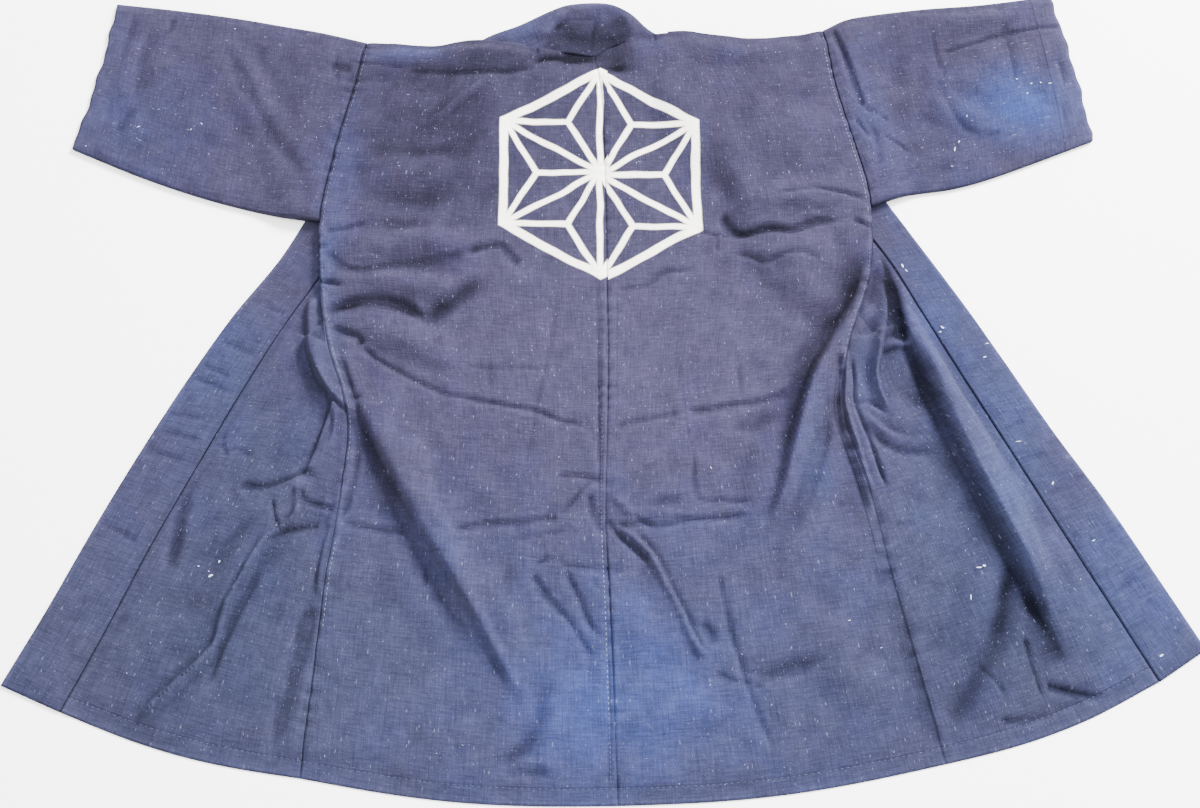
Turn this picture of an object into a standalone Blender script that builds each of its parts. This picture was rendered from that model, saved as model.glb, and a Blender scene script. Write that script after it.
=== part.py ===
"""Happi coat laid out flat, face down, with both fronts drawn out from under the back.

Each body strip is one cloth: it runs from the back hem over the shoulder to the
front hem. Below the shoulder the front lies under the back, turns back on itself
along a slanting fold, and comes out past the side seam with its collar band.
Plan sizes are in centimetres, x to the right and y towards the neck.
"""
import math

import bmesh
import bpy
from mathutils import Vector

CM = 0.01
MIDDLE_X, MIDDLE_Y = 0.5, 4.6      # middle of the laid coat in the plan

CLOTH = 0.12                       # wall of one layer of cotton
BAND = 0.26                        # collar band, the cloth doubled and turned in
SEAM_GAP = 0.03                    # parting between sewn pieces
RAISED_SEAM_GAP = 0.08             # more of it where the side seam stands up on a slope
FLOOR_LAYER = CLOTH / 2            # middle of a layer that lies on the floor
UNDER_LAYER = BAND + SEAM_GAP + CLOTH / 2 + 0.05   # middle of the front where it crosses the band
BACK_LIFT = 0.80                   # how high the back stands over the hidden fronts
LIFT_RUN = 6.0                     # width over which the back comes down to the floor
LIFT_LOW, LIFT_HIGH = -4.0, 8.0    # y between which the hidden fronts begin to lift it
NECK_LOW, NECK_TOP = 34.0, 43.0    # y between which the crossed fronts lift it by the neck
NECK_INNER, NECK_OUTER = 8.0, 17.0   # and how far out from the middle they do

COLUMNS = 13                       # cells across the back, side seam to centre seam
SHOULDER_COLUMNS = 9               # those that run on over the shoulder
ROW_STEPS = 3                      # rows between two sections of the tables
ROLL_STEPS = 4                     # rows round the shoulder fold
SLEEVE_STEPS = 11                  # rings along a sleeve

INDIGO = (0.045, 0.047, 0.105, 1.0)
FADED_INDIGO = (0.050, 0.058, 0.125, 1.0)

# One row for each section of a body strip, from the hem to the shoulder:
# side (or armhole) seam x, y; centre seam x, y; front fold x, y; collar seam x, y;
# collar band's folded edge x, y.
RIGHT_SECTIONS = (
    ("hem", 35.8, -38.6, 1.8, -42.7, 51.8, -33.0, 58.9, -30.3, 64.2, -27.0),
    ("skirt", 33.7, -29.5, 1.5, -33.2, 48.1, -24.4, 54.5, -22.1, 60.0, -19.4),
    ("thigh", 31.6, -20.0, 1.1, -23.2, 44.2, -15.6, 49.9, -13.6, 55.4, -11.2),
    ("hip", 29.6, -10.0, 0.6, -13.0, 39.6, -7.3, 45.1, -4.6, 50.4, -3.2),
    ("waist", 27.2, -1.0, 0.8, -3.0, 32.6, 1.0, 40.7, 3.6, 45.9, 4.6),
    ("ribs", 28.0, 7.0, 0.9, 5.0, 31.0, 7.9, 36.9, 10.8, 41.8, 11.6),
    ("chest", 31.0, 15.0, 0.8, 13.5, 24.2, 14.6, 32.9, 18.2, 37.2, 18.9),
    ("armpit", 31.5, 23.7, 0.7, 22.0, 19.6, 21.6, 27.6, 25.2, 32.2, 26.6),
    ("blade", 30.2, 31.0, 0.5, 30.0, 14.8, 29.6, 21.6, 32.6, 26.4, 34.6),
    ("upper", 28.3, 39.0, 0.2, 37.5, 10.2, 37.4, 14.0, 39.4, 17.8, 42.0),
    ("shoulder", 27.2, 46.9, -0.7, 43.5, 6.8, 45.0, 7.4, 45.4, 11.4, 45.2),
)
LEFT_SECTIONS = (
    ("hem", -31.0, -40.0, 1.8, -42.7, -48.6, -35.5, -56.5, -33.4, -63.0, -30.7),
    ("skirt", -30.3, -30.5, 1.5, -33.2, -45.7, -26.6, -52.3, -24.9, -58.6, -22.6),
    ("thigh", -29.6, -20.5, 1.1, -23.2, -42.3, -17.3, -47.8, -15.9, -54.2, -13.9),
    ("hip", -28.4, -10.5, 0.6, -13.0, -38.6, -8.0, -43.3, -6.9, -49.5, -5.2),
    ("waist", -28.2, -1.0, 0.8, -3.0, -33.6, 0.6, -39.1, 1.6, -44.9, 3.0),
    ("ribs", -30.6, 6.5, 0.9, 5.0, -33.2, 7.6, -35.5, 8.8, -40.8, 10.4),
    ("chest", -32.0, 14.0, 0.8, 13.5, -25.6, 13.6, -32.1, 15.6, -37.0, 17.4),
    ("armpit", -32.5, 21.8, 0.7, 22.0, -20.8, 20.0, -27.6, 22.8, -32.8, 25.0),
    ("blade", -31.2, 31.0, 0.5, 30.0, -16.6, 28.4, -21.6, 31.6, -26.4, 34.0),
    ("upper", -29.6, 38.5, 0.2, 37.5, -13.0, 36.2, -15.6, 38.6, -19.4, 41.2),
    ("shoulder", -28.3, 45.2, -0.7, 43.5, -9.6, 43.6, -10.2, 44.1, -14.4, 45.2),
)
ARMPIT = 7                          # row of the tables where the sleeve begins
SHOULDER = 10                       # row of the tables at the shoulder fold
FIRST_FLIP = 9                      # the front is doubled under from this row down
TURNED_OUT = 5                      # from this row down the front comes out at the seam

# Shape of the shoulder and neck edge: x, y from the sleeve seam to the centre seam.
RIGHT_TOP = ((27.2, 47.3), (23.0, 46.5), (18.0, 46.1), (13.0, 46.9), (10.6, 47.4),
             (7.6, 47.0), (3.2, 46.2), (-0.7, 43.8))
LEFT_TOP = ((-28.3, 45.5), (-24.0, 45.4), (-19.5, 45.1), (-15.5, 46.0), (-12.0, 45.7),
            (-8.4, 45.0), (-4.2, 44.4), (-0.7, 43.8))
TOP_RUN = 11.0                      # how far down the shoulder edge's shape reaches
HEM_BOW = 1.0                       # the hem's sag between two seams
HEM_RUN = 26.0                      # how far up the hem's sag reaches
FRONT_HEM_HALF = 14.0               # half width of a front, which the sag keeps to
HALF_BACK = 30.0                    # side seam to centre seam, about

# Largest folds of the body: name, start x, y, bend x, y, end x, y, height, reach on
# its left and on its right looking from start to end, share of the length that fades.
BODY_FOLDS = (
    ("left hip roll", -29.0, 5.0, -20.0, -12.0, -7.0, -33.0, 2.1, 5.5, 3.0, 0.35),
    ("left waist roll", -33.4, 15.0, -33.0, 5.0, -27.0, -3.5, 0.9, 2.2, 2.6, 0.30),
    ("left rib gather", -31.0, 19.8, -24.0, 17.8, -12.0, 20.2, 0.9, 2.6, 2.4, 0.40),
    ("left waist gather", -31.0, 15.0, -24.0, 15.4, -14.0, 12.0, 0.8, 2.8, 2.4, 0.40),
    ("left flank gather", -29.5, 9.5, -22.0, 8.4, -12.0, 3.0, 0.8, 3.6, 2.6, 0.45),
    ("left blade", -29.0, 28.5, -22.0, 28.2, -12.0, 27.0, 0.8, 3.4, 4.2, 0.45),
    ("left yoke", -30.0, 42.6, -18.0, 42.8, -5.0, 44.2, 0.7, 2.6, 3.2, 0.35),
    ("left blade slope", -21.0, 35.0, -16.0, 39.0, -11.0, 42.0, 0.5, 3.0, 3.4, 0.45),
    ("left front pleat", -29.5, -5.0, -36.0, -11.0, -44.5, -30.5, 1.0, 3.2, 3.0, 0.40),
    ("left front seam pleat", -28.5, -9.0, -32.0, -22.0, -34.5, -35.0, 0.6, 2.8, 2.6, 0.40),
    ("right hip roll", 31.5, 14.5, 23.0, 3.0, 15.5, -20.0, 1.7, 3.4, 4.4, 0.32),
    ("right front roll", 35.5, 12.0, 41.0, -6.0, 50.5, -28.0, 2.0, 4.4, 2.8, 0.30),
    ("right waist leaf", 32.6, 17.0, 33.4, 12.0, 30.5, 4.0, 0.8, 2.0, 2.2, 0.35),
    ("right hollow rim", 30.0, 1.0, 33.5, -3.0, 38.0, -2.0, 0.6, 2.6, 2.8, 0.40),
    ("right rib gather", 14.0, 24.0, 22.0, 24.6, 31.0, 25.4, 0.7, 3.4, 2.6, 0.40),
    ("right waist gather", 12.0, 19.2, 20.0, 17.6, 28.0, 19.4, 0.6, 2.8, 3.0, 0.45),
    ("right blade", 16.0, 34.0, 22.0, 33.0, 29.0, 33.6, 0.6, 5.0, 5.0, 0.45),
    ("right yoke", 7.0, 45.2, 16.0, 44.4, 26.0, 45.0, 0.6, 3.4, 3.0, 0.40),
    ("right skirt swell", 22.0, -22.0, 25.0, -29.0, 33.0, -35.0, 0.6, 4.4, 4.4, 0.45),
    ("right front swell", 43.0, -14.0, 41.5, -23.0, 36.5, -35.5, 0.7, 3.4, 3.8, 0.45),
    ("centre swell", -3.0, -17.0, 2.0, -23.0, 8.0, -28.0, 0.5, 5.0, 5.0, 0.45),
)
# The same for the sleeves.
SLEEVE_FOLDS = (
    ("left sleeve fold", -46.0, 46.0, -41.0, 38.0, -34.0, 27.0, 0.7, 3.0, 4.2, 0.40),
    ("left cuff fold", -56.5, 49.5, -58.0, 42.0, -57.0, 35.0, 0.5, 2.2, 2.6, 0.40),
    ("right armhole fold", 28.8, 48.0, 30.8, 40.0, 33.4, 28.0, 0.6, 1.8, 2.6, 0.30),
    ("right sleeve top", 39.0, 47.0, 46.0, 49.0, 54.0, 50.0, 0.6, 2.4, 2.4, 0.40),
    ("right sleeve fold", 38.5, 39.0, 41.5, 36.0, 48.0, 33.5, 0.6, 3.4, 3.0, 0.40),
)
FOLD_SAMPLES = 14

# Sleeve edges from the armhole to the cuff: along, top edge x, y, lower edge x, y.
RIGHT_SLEEVE = (
    (27.2, 47.3, 31.5, 23.7),
    (31.2, 49.2, 36.0, 25.3),
    (39.0, 50.3, 42.0, 26.3),
    (47.0, 51.2, 48.0, 28.2),
    (55.6, 52.0, 58.7, 32.4),
)
LEFT_SLEEVE = (
    (-28.3, 45.5, -32.5, 21.8),
    (-36.0, 47.4, -38.0, 22.7),
    (-44.0, 49.0, -46.0, 24.8),
    (-52.0, 50.2, -54.0, 27.6),
    (-60.0, 51.1, -62.8, 31.3),
)
SLEEVE_LIFT = 0.46                  # middle of a sleeve's upper layer
CUFF_CURVE = 0.5                    # how far the cuff's edge bows outwards

# Neck of the collar band from left to right: seam edge x, y where the back's neck
# edge doesn't give it, folded edge x, y.
NECK_BAND = (
    ("under left", -10.6, 41.9, -14.6, 45.9),
    ("left turn", -7.2, 42.9, -9.8, 48.1),
    ("left neck", None, None, -6.0, 50.1),
    ("left crown", None, None, -3.4, 51.0),
    ("right crown", None, None, 0.8, 51.1),
    ("right neck", None, None, 3.6, 49.8),
    ("right turn", 5.2, 44.3, 6.6, 47.0),
    ("under right", 8.6, 42.4, 11.6, 45.0),
)
COLLAR_COLUMNS = 3
NECK_LEVEL = 0.20                   # middle of the back's neck edge, flush with the band
NECK_SHIFT = 1.0                    # the collar's middle lies this far left
NECK_HALF = 2.8                     # how far from the centre seam it stays so low


def smooth(low, high, value):
    """Ease from 0 at low to 1 at high."""
    share = min(max((value - low) / (high - low), 0.0), 1.0)
    return share * share * (3.0 - 2.0 * share)


def mix(first, second, share):
    return tuple(a + (b - a) * share for a, b in zip(first, second))


def through(points, place):
    """A smooth curve through the points, read at a fractional index."""
    last = len(points) - 1
    start = min(max(int(math.floor(place)), 0), last - 1)
    t = place - start
    before = points[start - 1] if start > 0 else mix(points[0], points[1], -1.0)
    after = (points[start + 2] if start + 2 <= last
             else mix(points[last], points[last - 1], -1.0))
    values = zip(before, points[start], points[start + 1], after)
    return tuple(
        0.5 * (2 * b + (c - a) * t + (2 * a - 5 * b + 4 * c - d) * t * t
               + (3 * b - a - 3 * c + d) * t ** 3)
        for a, b, c, d in values
    )


def fold_height(folds, x, y):
    """The height that the folds in a table add at one place of the plan."""
    total = 0.0
    for _, ax, ay, bx, by, cx, cy, height, left, right, fade in folds:
        reach = max(left, right)
        if not (min(ax, bx, cx) - reach < x < max(ax, bx, cx) + reach):
            continue
        if not (min(ay, by, cy) - reach < y < max(ay, by, cy) + reach):
            continue
        best = None
        for step in range(FOLD_SAMPLES):
            t0, t1 = step / FOLD_SAMPLES, (step + 1) / FOLD_SAMPLES
            p0 = mix(mix((ax, ay), (bx, by), t0), mix((bx, by), (cx, cy), t0), t0)
            p1 = mix(mix((ax, ay), (bx, by), t1), mix((bx, by), (cx, cy), t1), t1)
            dx, dy = p1[0] - p0[0], p1[1] - p0[1]
            share = ((x - p0[0]) * dx + (y - p0[1]) * dy) / (dx * dx + dy * dy)
            share = min(max(share, 0.0), 1.0)
            nx, ny = x - p0[0] - dx * share, y - p0[1] - dy * share
            away = math.hypot(nx, ny)
            if best is None or away < best[0]:
                best = (away, dx * ny - dy * nx, t0 + (t1 - t0) * share)
        away, side, along = best
        width = left if side > 0 else right
        if away < width:
            ends = smooth(0.0, fade, along) * smooth(0.0, fade, 1.0 - along)
            total += height * ends * math.cos(0.5 * math.pi * away / width) ** 2
    return total


def ridge_edge(sections, y):
    """x of the fold of the hidden front at a height y of the plan."""
    rows = [(row[6], row[5]) for row in sections[TURNED_OUT:]]
    if y <= rows[0][0]:
        return rows[0][1]
    for (y0, x0), (y1, x1) in zip(rows, rows[1:]):
        if y <= y1:
            return x0 + (x1 - x0) * (y - y0) / (y1 - y0)
    return rows[-1][1]


def back_height(sections, x, y):
    """Height of the middle of the back: on the floor, over the fronts, and its folds."""
    out = 1.0 if sections is RIGHT_SECTIONS else -1.0
    past = out * (x - ridge_edge(sections, y))
    lift = smooth(-LIFT_RUN, -0.6, past) * smooth(LIFT_LOW, LIFT_HIGH, y)
    neck = smooth(NECK_LOW, NECK_TOP, y) * smooth(NECK_OUTER, NECK_INNER, abs(x + NECK_SHIFT))
    height = FLOOR_LAYER + BACK_LIFT * max(lift, neck) + fold_height(BODY_FOLDS, x, y)
    dip = smooth(NECK_HALF + 2.0, NECK_HALF, abs(x + NECK_SHIFT)) * smooth(40.5, 43.6, y)
    return height + (NECK_LEVEL - height) * dip


def bend_rows(sections, top, row, across, point):
    """Give a ruled point of the back the hem's sag and the shoulder edge's shape."""
    x, y = point
    hem = smooth(HEM_RUN, 0.0, math.dist(point, mix(sections[0][1:3], sections[0][3:5], across)))
    y -= HEM_BOW * math.sin(math.pi * across) * hem
    edge = through(top, across * (len(top) - 1))
    ruled = mix(sections[SHOULDER][1:3], sections[SHOULDER][3:5], across)
    near = smooth(SHOULDER - TOP_RUN / 8.0, SHOULDER, row)
    return x + (edge[0] - ruled[0]) * near, y + (edge[1] - ruled[1]) * near


def body_grid(sections, top, centre):
    """Rows of places for one body strip, None where the neck is cut away."""
    out = 1.0 if sections is RIGHT_SECTIONS else -1.0
    rows = []
    back_rows = SHOULDER * ROW_STEPS
    for step in range(back_rows + 1):
        place = step / ROW_STEPS
        section = through([row[1:] for row in sections], place)
        line = []
        for column in range(COLUMNS + 1):
            across = centre * column / COLUMNS
            point = mix(section[0:2], section[2:4], across)
            x, y = bend_rows(sections, top, place, across, point)
            line.append((x, y, back_height(sections, x, y)))
        rows.append(line)
    edge = rows[-1]
    for step in range(1, ROLL_STEPS):
        angle = math.pi * step / ROLL_STEPS
        line = []
        for column in range(COLUMNS + 1):
            x, y, z = edge[column]
            radius = (z - UNDER_LAYER) / 2
            place = (x, y + radius * math.sin(angle), UNDER_LAYER + radius * (1 + math.cos(angle)))
            line.append(place if column <= SHOULDER_COLUMNS else None)
        rows.append(line)
    flips = COLUMNS - SHOULDER_COLUMNS - 1
    for step in range(back_rows, -1, -1):
        place = step / ROW_STEPS
        section = through([row[1:] for row in sections], place)
        turned = 1.0 if place <= TURNED_OUT else 0.0
        seam_back = rows[step][0]
        below = CLOTH + 4 * SEAM_GAP
        beside = 1.0 - smooth(TURNED_OUT + 0.2, TURNED_OUT + 0.7, place)
        raised = smooth(FLOOR_LAYER, BACK_LIFT, seam_back[2])
        seam = (seam_back[0] + out * (SEAM_GAP + 0.02 + RAISED_SEAM_GAP * raised), seam_back[1],
                seam_back[2] - below * (1.0 - beside))
        if place > TURNED_OUT + 1:
            settle = smooth(TURNED_OUT + 1.0, ARMPIT, place)
            seam = (seam[0], seam[1], seam[2] + (UNDER_LAYER - seam[2]) * settle)
        level = UNDER_LAYER + (FLOOR_LAYER - UNDER_LAYER) * turned
        fold = (section[4], section[5])
        hanging = smooth(TURNED_OUT - 0.7, TURNED_OUT, place)
        hanging *= smooth(ARMPIT - 0.3, ARMPIT - 1, place)
        hem_middle = mix(sections[0][1:3], sections[0][7:9], 0.5)
        line = []
        for column in range(COLUMNS + 1):
            if column <= SHOULDER_COLUMNS:
                t = column / SHOULDER_COLUMNS
                x, y = mix(seam[:2], fold, t)
                if step == back_rows:
                    x, y = edge[column][0], edge[column][1]
                elif place > FIRST_FLIP:
                    near = smooth(FIRST_FLIP, SHOULDER, place)
                    x, y = mix((x, y), edge[column][:2], near)
                drop = smooth(-0.08, 0.30 + 0.30 * turned, t) if t else 0.0
                drop += (t - drop) * hanging
                z = seam[2] + (level - seam[2]) * drop
            elif place > FIRST_FLIP:
                line.append(None)
                continue
            else:
                t = (column - SHOULDER_COLUMNS - 1 + turned) / (flips + turned)
                x, y = mix(fold, section[6:8], t)
                z = FLOOR_LAYER
            hem = smooth(HEM_RUN, 0.0, math.dist((x, y), hem_middle) - FRONT_HEM_HALF)
            share = column / COLUMNS
            y -= HEM_BOW * math.sin(math.pi * share) * hem * (1.0 - min(place, 1.0))
            free = smooth(0.0, 0.35, share) * smooth(0.0, 0.12, 1.0 - share)
            z += turned * free * fold_height(BODY_FOLDS, x, y)
            line.append((x, y, z))
        rows.append(line)
    return rows


def lay(place):
    x, y, z = place
    return Vector(((x - MIDDLE_X) * CM, (y - MIDDLE_Y) * CM, z * CM))


def finish(name, mesh, thickness, colour):
    """A named object with its cloth's wall and material."""
    material = bpy.data.materials.new(name + " cotton")
    material.use_nodes = True
    shader = material.node_tree.nodes["Principled BSDF"]
    shader.inputs["Base Color"].default_value = colour
    shader.inputs["Roughness"].default_value = 0.9
    shader.inputs["Metallic"].default_value = 0.0
    mesh.materials.append(material)
    piece = bpy.data.objects.new(name, mesh)
    bpy.context.collection.objects.link(piece)
    wall = piece.modifiers.new("Cloth wall", "SOLIDIFY")
    wall.thickness = thickness * CM
    wall.offset = 0.0
    wall.use_even_offset = False
    mesh.shade_smooth()
    return piece


def cloth(name, rows, thickness, colour, closed=False):
    """A sheet of cells cut from a flat grid, laid at the rows' places, with its wall."""
    count, width = len(rows), len(rows[0])
    sheet = bmesh.new()
    grid = bmesh.ops.create_grid(sheet, x_segments=count - 1, y_segments=width - 1, size=0.5)
    ordered = sorted(grid["verts"], key=lambda v: (round(v.co.x, 5), round(v.co.y, 5)))
    cut = []
    for index, vertex in enumerate(ordered):
        place = rows[index // width][index % width]
        if place is None:
            cut.append(vertex)
        else:
            vertex.co = lay(place)
    bmesh.ops.delete(sheet, geom=cut, context="VERTS")
    if closed:
        bmesh.ops.remove_doubles(sheet, verts=sheet.verts, dist=1e-6)
    bmesh.ops.recalc_face_normals(sheet, faces=sheet.faces)
    mesh = bpy.data.meshes.new(name)
    sheet.to_mesh(mesh)
    sheet.free()
    return finish(name, mesh, thickness, colour)


def sleeve_grid(edges, body_rows, out):
    """Rings of a flattened sleeve from the armhole to the cuff."""
    back_rows = SHOULDER * ROW_STEPS
    first = ARMPIT * ROW_STEPS
    upper = [body_rows[row][0] for row in range(first, back_rows + 1)]
    over = [body_rows[back_rows + step][0] for step in range(1, ROLL_STEPS)]
    start = back_rows + ROLL_STEPS
    lower = [body_rows[start + step][0] for step in range(0, back_rows - first + 1)]
    hole = upper + over + lower
    count = len(upper) - 1
    rings = []
    for step in range(SLEEVE_STEPS + 1):
        share = step / SLEEVE_STEPS
        top = through(edges, share * (len(edges) - 1))
        ring = []
        for index, place in enumerate(hole):
            if index <= count:
                across, layer = index / count, 1.0
            elif index < count + ROLL_STEPS:
                turn = (index - count) / ROLL_STEPS
                across, layer = 1.0, 0.5 * (1 + math.cos(math.pi * turn))
            else:
                across, layer = 1.0 - (index - count - ROLL_STEPS) / count, 0.0
            x, y = mix(top[2:4], top[0:2], across)
            x += out * CUFF_CURVE * math.sin(math.pi * across) * share
            relief = fold_height(SLEEVE_FOLDS, x, y)
            relief *= smooth(0.0, 0.12, across) * smooth(0.0, 0.1, 1 - across)
            high = SLEEVE_LIFT + relief
            z = FLOOR_LAYER + (high - FLOOR_LAYER) * layer
            if 0.0 < layer < 1.0:
                y += 0.5 * (high - FLOOR_LAYER) * math.sin(math.acos(2 * layer - 1))
            near = smooth(0.36, 0.14, share)
            first_x, first_y = mix(edges[0][2:4], edges[0][0:2], across)
            x += (place[0] + out * (SEAM_GAP + CLOTH / 2) - first_x) * near
            if layer in (0.0, 1.0):
                y += (place[1] - first_y) * near
            z += (place[2] - z) * near
            ring.append((x, y, z))
        ring.append(ring[0])
        rings.append(ring)
    return rings


def collar_rows(left, right):
    """The band from the left hem corner up, round the back neck and down to the right."""
    back_rows = SHOULDER * ROW_STEPS
    front = back_rows + ROLL_STEPS
    ends = []
    for sections, rows in ((LEFT_SECTIONS, left), (RIGHT_SECTIONS, right)):
        arm = []
        for step in range(FIRST_FLIP * ROW_STEPS + 1):
            seam = rows[front + back_rows - step][COLUMNS]
            edge = through([row[1:] for row in sections], step / ROW_STEPS)[8:10]
            wide = math.dist(seam[:2], edge)
            seam = mix(seam[:2], edge, (SEAM_GAP + 0.01) / wide)
            arm.append((seam, edge, BAND / 2, BAND / 2))
        ends.append(arm)
    neck = []
    columns = iter(((left, SHOULDER_COLUMNS + 2), (left, COLUMNS),
                    (right, SHOULDER_COLUMNS + 3), (right, SHOULDER_COLUMNS + 2)))
    for _, seam_x, seam_y, edge_x, edge_y in NECK_BAND:
        height = BAND / 2
        if seam_x is None:
            rows, column = next(columns)
            seam_x, seam_y, height = rows[back_rows][column]
            seam_y += SEAM_GAP + 0.06
            height = min(height, NECK_LEVEL + 0.02)
        neck.append(((seam_x, seam_y), (edge_x, edge_y), height, BAND / 2))
    places = []
    for seam, edge, low, high in ends[0] + neck + ends[1][::-1]:
        line = []
        for column in range(COLLAR_COLUMNS + 1):
            share = column / COLLAR_COLUMNS
            x, y = mix(seam, edge, share)
            line.append((x, y, low + (high - low) * share))
        places.append(line)
    return places


for old in list(bpy.data.objects):
    bpy.data.objects.remove(old, do_unlink=True)

centre = 1.0 - (SEAM_GAP + 0.01) / 2 / HALF_BACK
right_rows = body_grid(RIGHT_SECTIONS, RIGHT_TOP, centre)
left_rows = body_grid(LEFT_SECTIONS, LEFT_TOP, centre)
cloth("body_right", right_rows, CLOTH, INDIGO)
cloth("body_left", left_rows, CLOTH, INDIGO)
cloth("sleeve_right", sleeve_grid(RIGHT_SLEEVE, right_rows, 1.0), CLOTH, INDIGO, closed=True)
cloth("sleeve_left", sleeve_grid(LEFT_SLEEVE, left_rows, -1.0), CLOTH, INDIGO, closed=True)
cloth("collar", collar_rows(left_rows, right_rows), BAND, FADED_INDIGO)
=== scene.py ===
import math

import bmesh
import bpy
import numpy as np
from mathutils import Matrix, Vector


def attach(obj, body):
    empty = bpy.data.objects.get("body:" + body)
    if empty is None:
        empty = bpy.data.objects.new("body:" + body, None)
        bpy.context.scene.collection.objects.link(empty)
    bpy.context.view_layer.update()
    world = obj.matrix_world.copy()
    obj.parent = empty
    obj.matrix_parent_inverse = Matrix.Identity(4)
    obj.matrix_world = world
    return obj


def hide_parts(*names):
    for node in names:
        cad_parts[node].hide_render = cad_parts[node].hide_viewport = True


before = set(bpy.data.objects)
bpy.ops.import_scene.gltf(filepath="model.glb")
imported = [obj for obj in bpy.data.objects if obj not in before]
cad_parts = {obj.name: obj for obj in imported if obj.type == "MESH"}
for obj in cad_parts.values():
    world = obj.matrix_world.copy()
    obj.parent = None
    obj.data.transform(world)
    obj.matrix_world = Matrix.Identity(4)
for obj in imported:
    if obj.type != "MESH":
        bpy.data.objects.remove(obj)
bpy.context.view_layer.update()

# ---------------------------------------------------------------------------
# Body strips: two loom widths of unlined cotton, each one cloth from the back hem over
# the shoulder to the front hem. The coat lies face down; each front lies under the back,
# turns over along a slanting fold and comes out past its side seam.
# ---------------------------------------------------------------------------
CM = 0.01                          # plan sizes: x to the right, y towards the neck
MIDDLE_X, MIDDLE_Y = 0.5, 4.6      # middle of the laid coat in the plan
CLOTH = 0.12                       # room that one layer takes
BAND = 0.26                        # room for the collar band, doubled and turned in
CLOTH_WALL = 0.10                  # thickness that a layer is drawn with
SEAM_GAP = 0.03                    # parting between sewn pieces
FLOOR_LAYER = CLOTH / 2            # middle of a layer that lies on the floor
UNDER_LAYER = BAND + SEAM_GAP + CLOTH / 2 + 0.05   # middle of a front over its band
BACK_LIFT = 0.80                   # how high the back stands over the hidden fronts
LIFT_RUN = 6.0                     # width over which it comes down to the floor
LIFT_LOW, LIFT_HIGH = -4.0, 8.0    # y between which it rises
LEAST_LIFT = 0.60                  # what a crease can't press the back below
NECK_LOW, NECK_TOP = 34.0, 43.0    # y between which the back rises over the band
NECK_INNER, NECK_OUTER = 8.0, 17.0   # and how far aside of the neck it comes down
NECK_LEVEL = 0.20                  # middle of the back's neck edge
NECK_SHIFT, NECK_HALF = 1.0, 2.6   # the neck's middle, to the left, and half its dip
DIP_RUN, DIP_LOW, DIP_TOP = 3.0, 40.5, 43.6   # how the dip runs out, aside and down
CENTRE = 1.0 - 0.006 / 30.0        # a strip's last column, just short of the centre seam
BACK_WIDTH, FRONT_WIDTH = 32.0, 24.6   # of a strip, along its sections
SECTION_LENGTH = 8.8               # length of cloth between two sections
CALM_HEM, CALM_SHOULDER = 1.6, 2.5   # length that stays flat at a hem, and at the shoulder
SEAM_DIP = 0.45                    # reach of the dip that a seam's stitches pull down
CENTRE_DIP, SIDE_DIP = 0.14, 0.10  # and its depth
BAND_EDGE = ((0.14, 0.9), (-0.16, 0.25))   # height and reach of what the band's seam draws up
SIDE_GAP = 0.010                   # parting at the side seam where it lies on the floor
FRONT_RISE = 0.14                  # of a front where it starts to run in under the back

COLUMNS = 96                       # cells across a strip, side seam to centre seam
SHOULDER_COLUMNS = 66              # those that run on over the shoulder
ROW_STEPS = 28                     # rows between two sections of the tables
ROLL_STEPS = 6                     # rows round the shoulder fold

# One row for each section, from the hem to the shoulder: side (or armhole) seam
# x, y; centre seam x, y; front fold x, y; collar seam x, y; band's folded edge x, y.
RIGHT_SECTIONS = (
    (35.8, -38.6, 1.8, -42.7, 51.8, -33.0, 58.9, -30.3, 64.2, -27.0),
    (33.7, -29.5, 1.5, -33.2, 48.1, -24.4, 54.5, -22.1, 60.0, -19.4),
    (31.6, -20.0, 1.1, -23.2, 44.2, -15.6, 49.9, -13.6, 55.4, -11.2),
    (29.6, -10.0, 0.6, -13.0, 39.6, -7.3, 45.1, -4.6, 50.4, -3.2),
    (27.2, -1.0, 0.8, -3.0, 32.6, 1.0, 40.7, 3.6, 45.9, 4.6),
    (28.0, 7.0, 0.9, 5.0, 31.0, 7.9, 36.9, 10.8, 41.8, 11.6),
    (31.0, 15.0, 0.8, 13.5, 24.2, 14.6, 32.9, 18.2, 37.2, 18.9),
    (31.5, 23.7, 0.7, 22.0, 19.6, 21.6, 27.6, 25.2, 32.2, 26.6),
    (30.2, 31.0, 0.5, 30.0, 14.8, 29.6, 21.6, 32.6, 26.4, 34.6),
    (28.3, 39.0, 0.2, 37.5, 10.2, 37.4, 14.0, 39.4, 17.8, 42.0),
    (27.2, 46.9, -0.7, 43.5, 6.8, 45.0, 7.4, 45.4, 11.4, 45.2),
)
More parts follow.
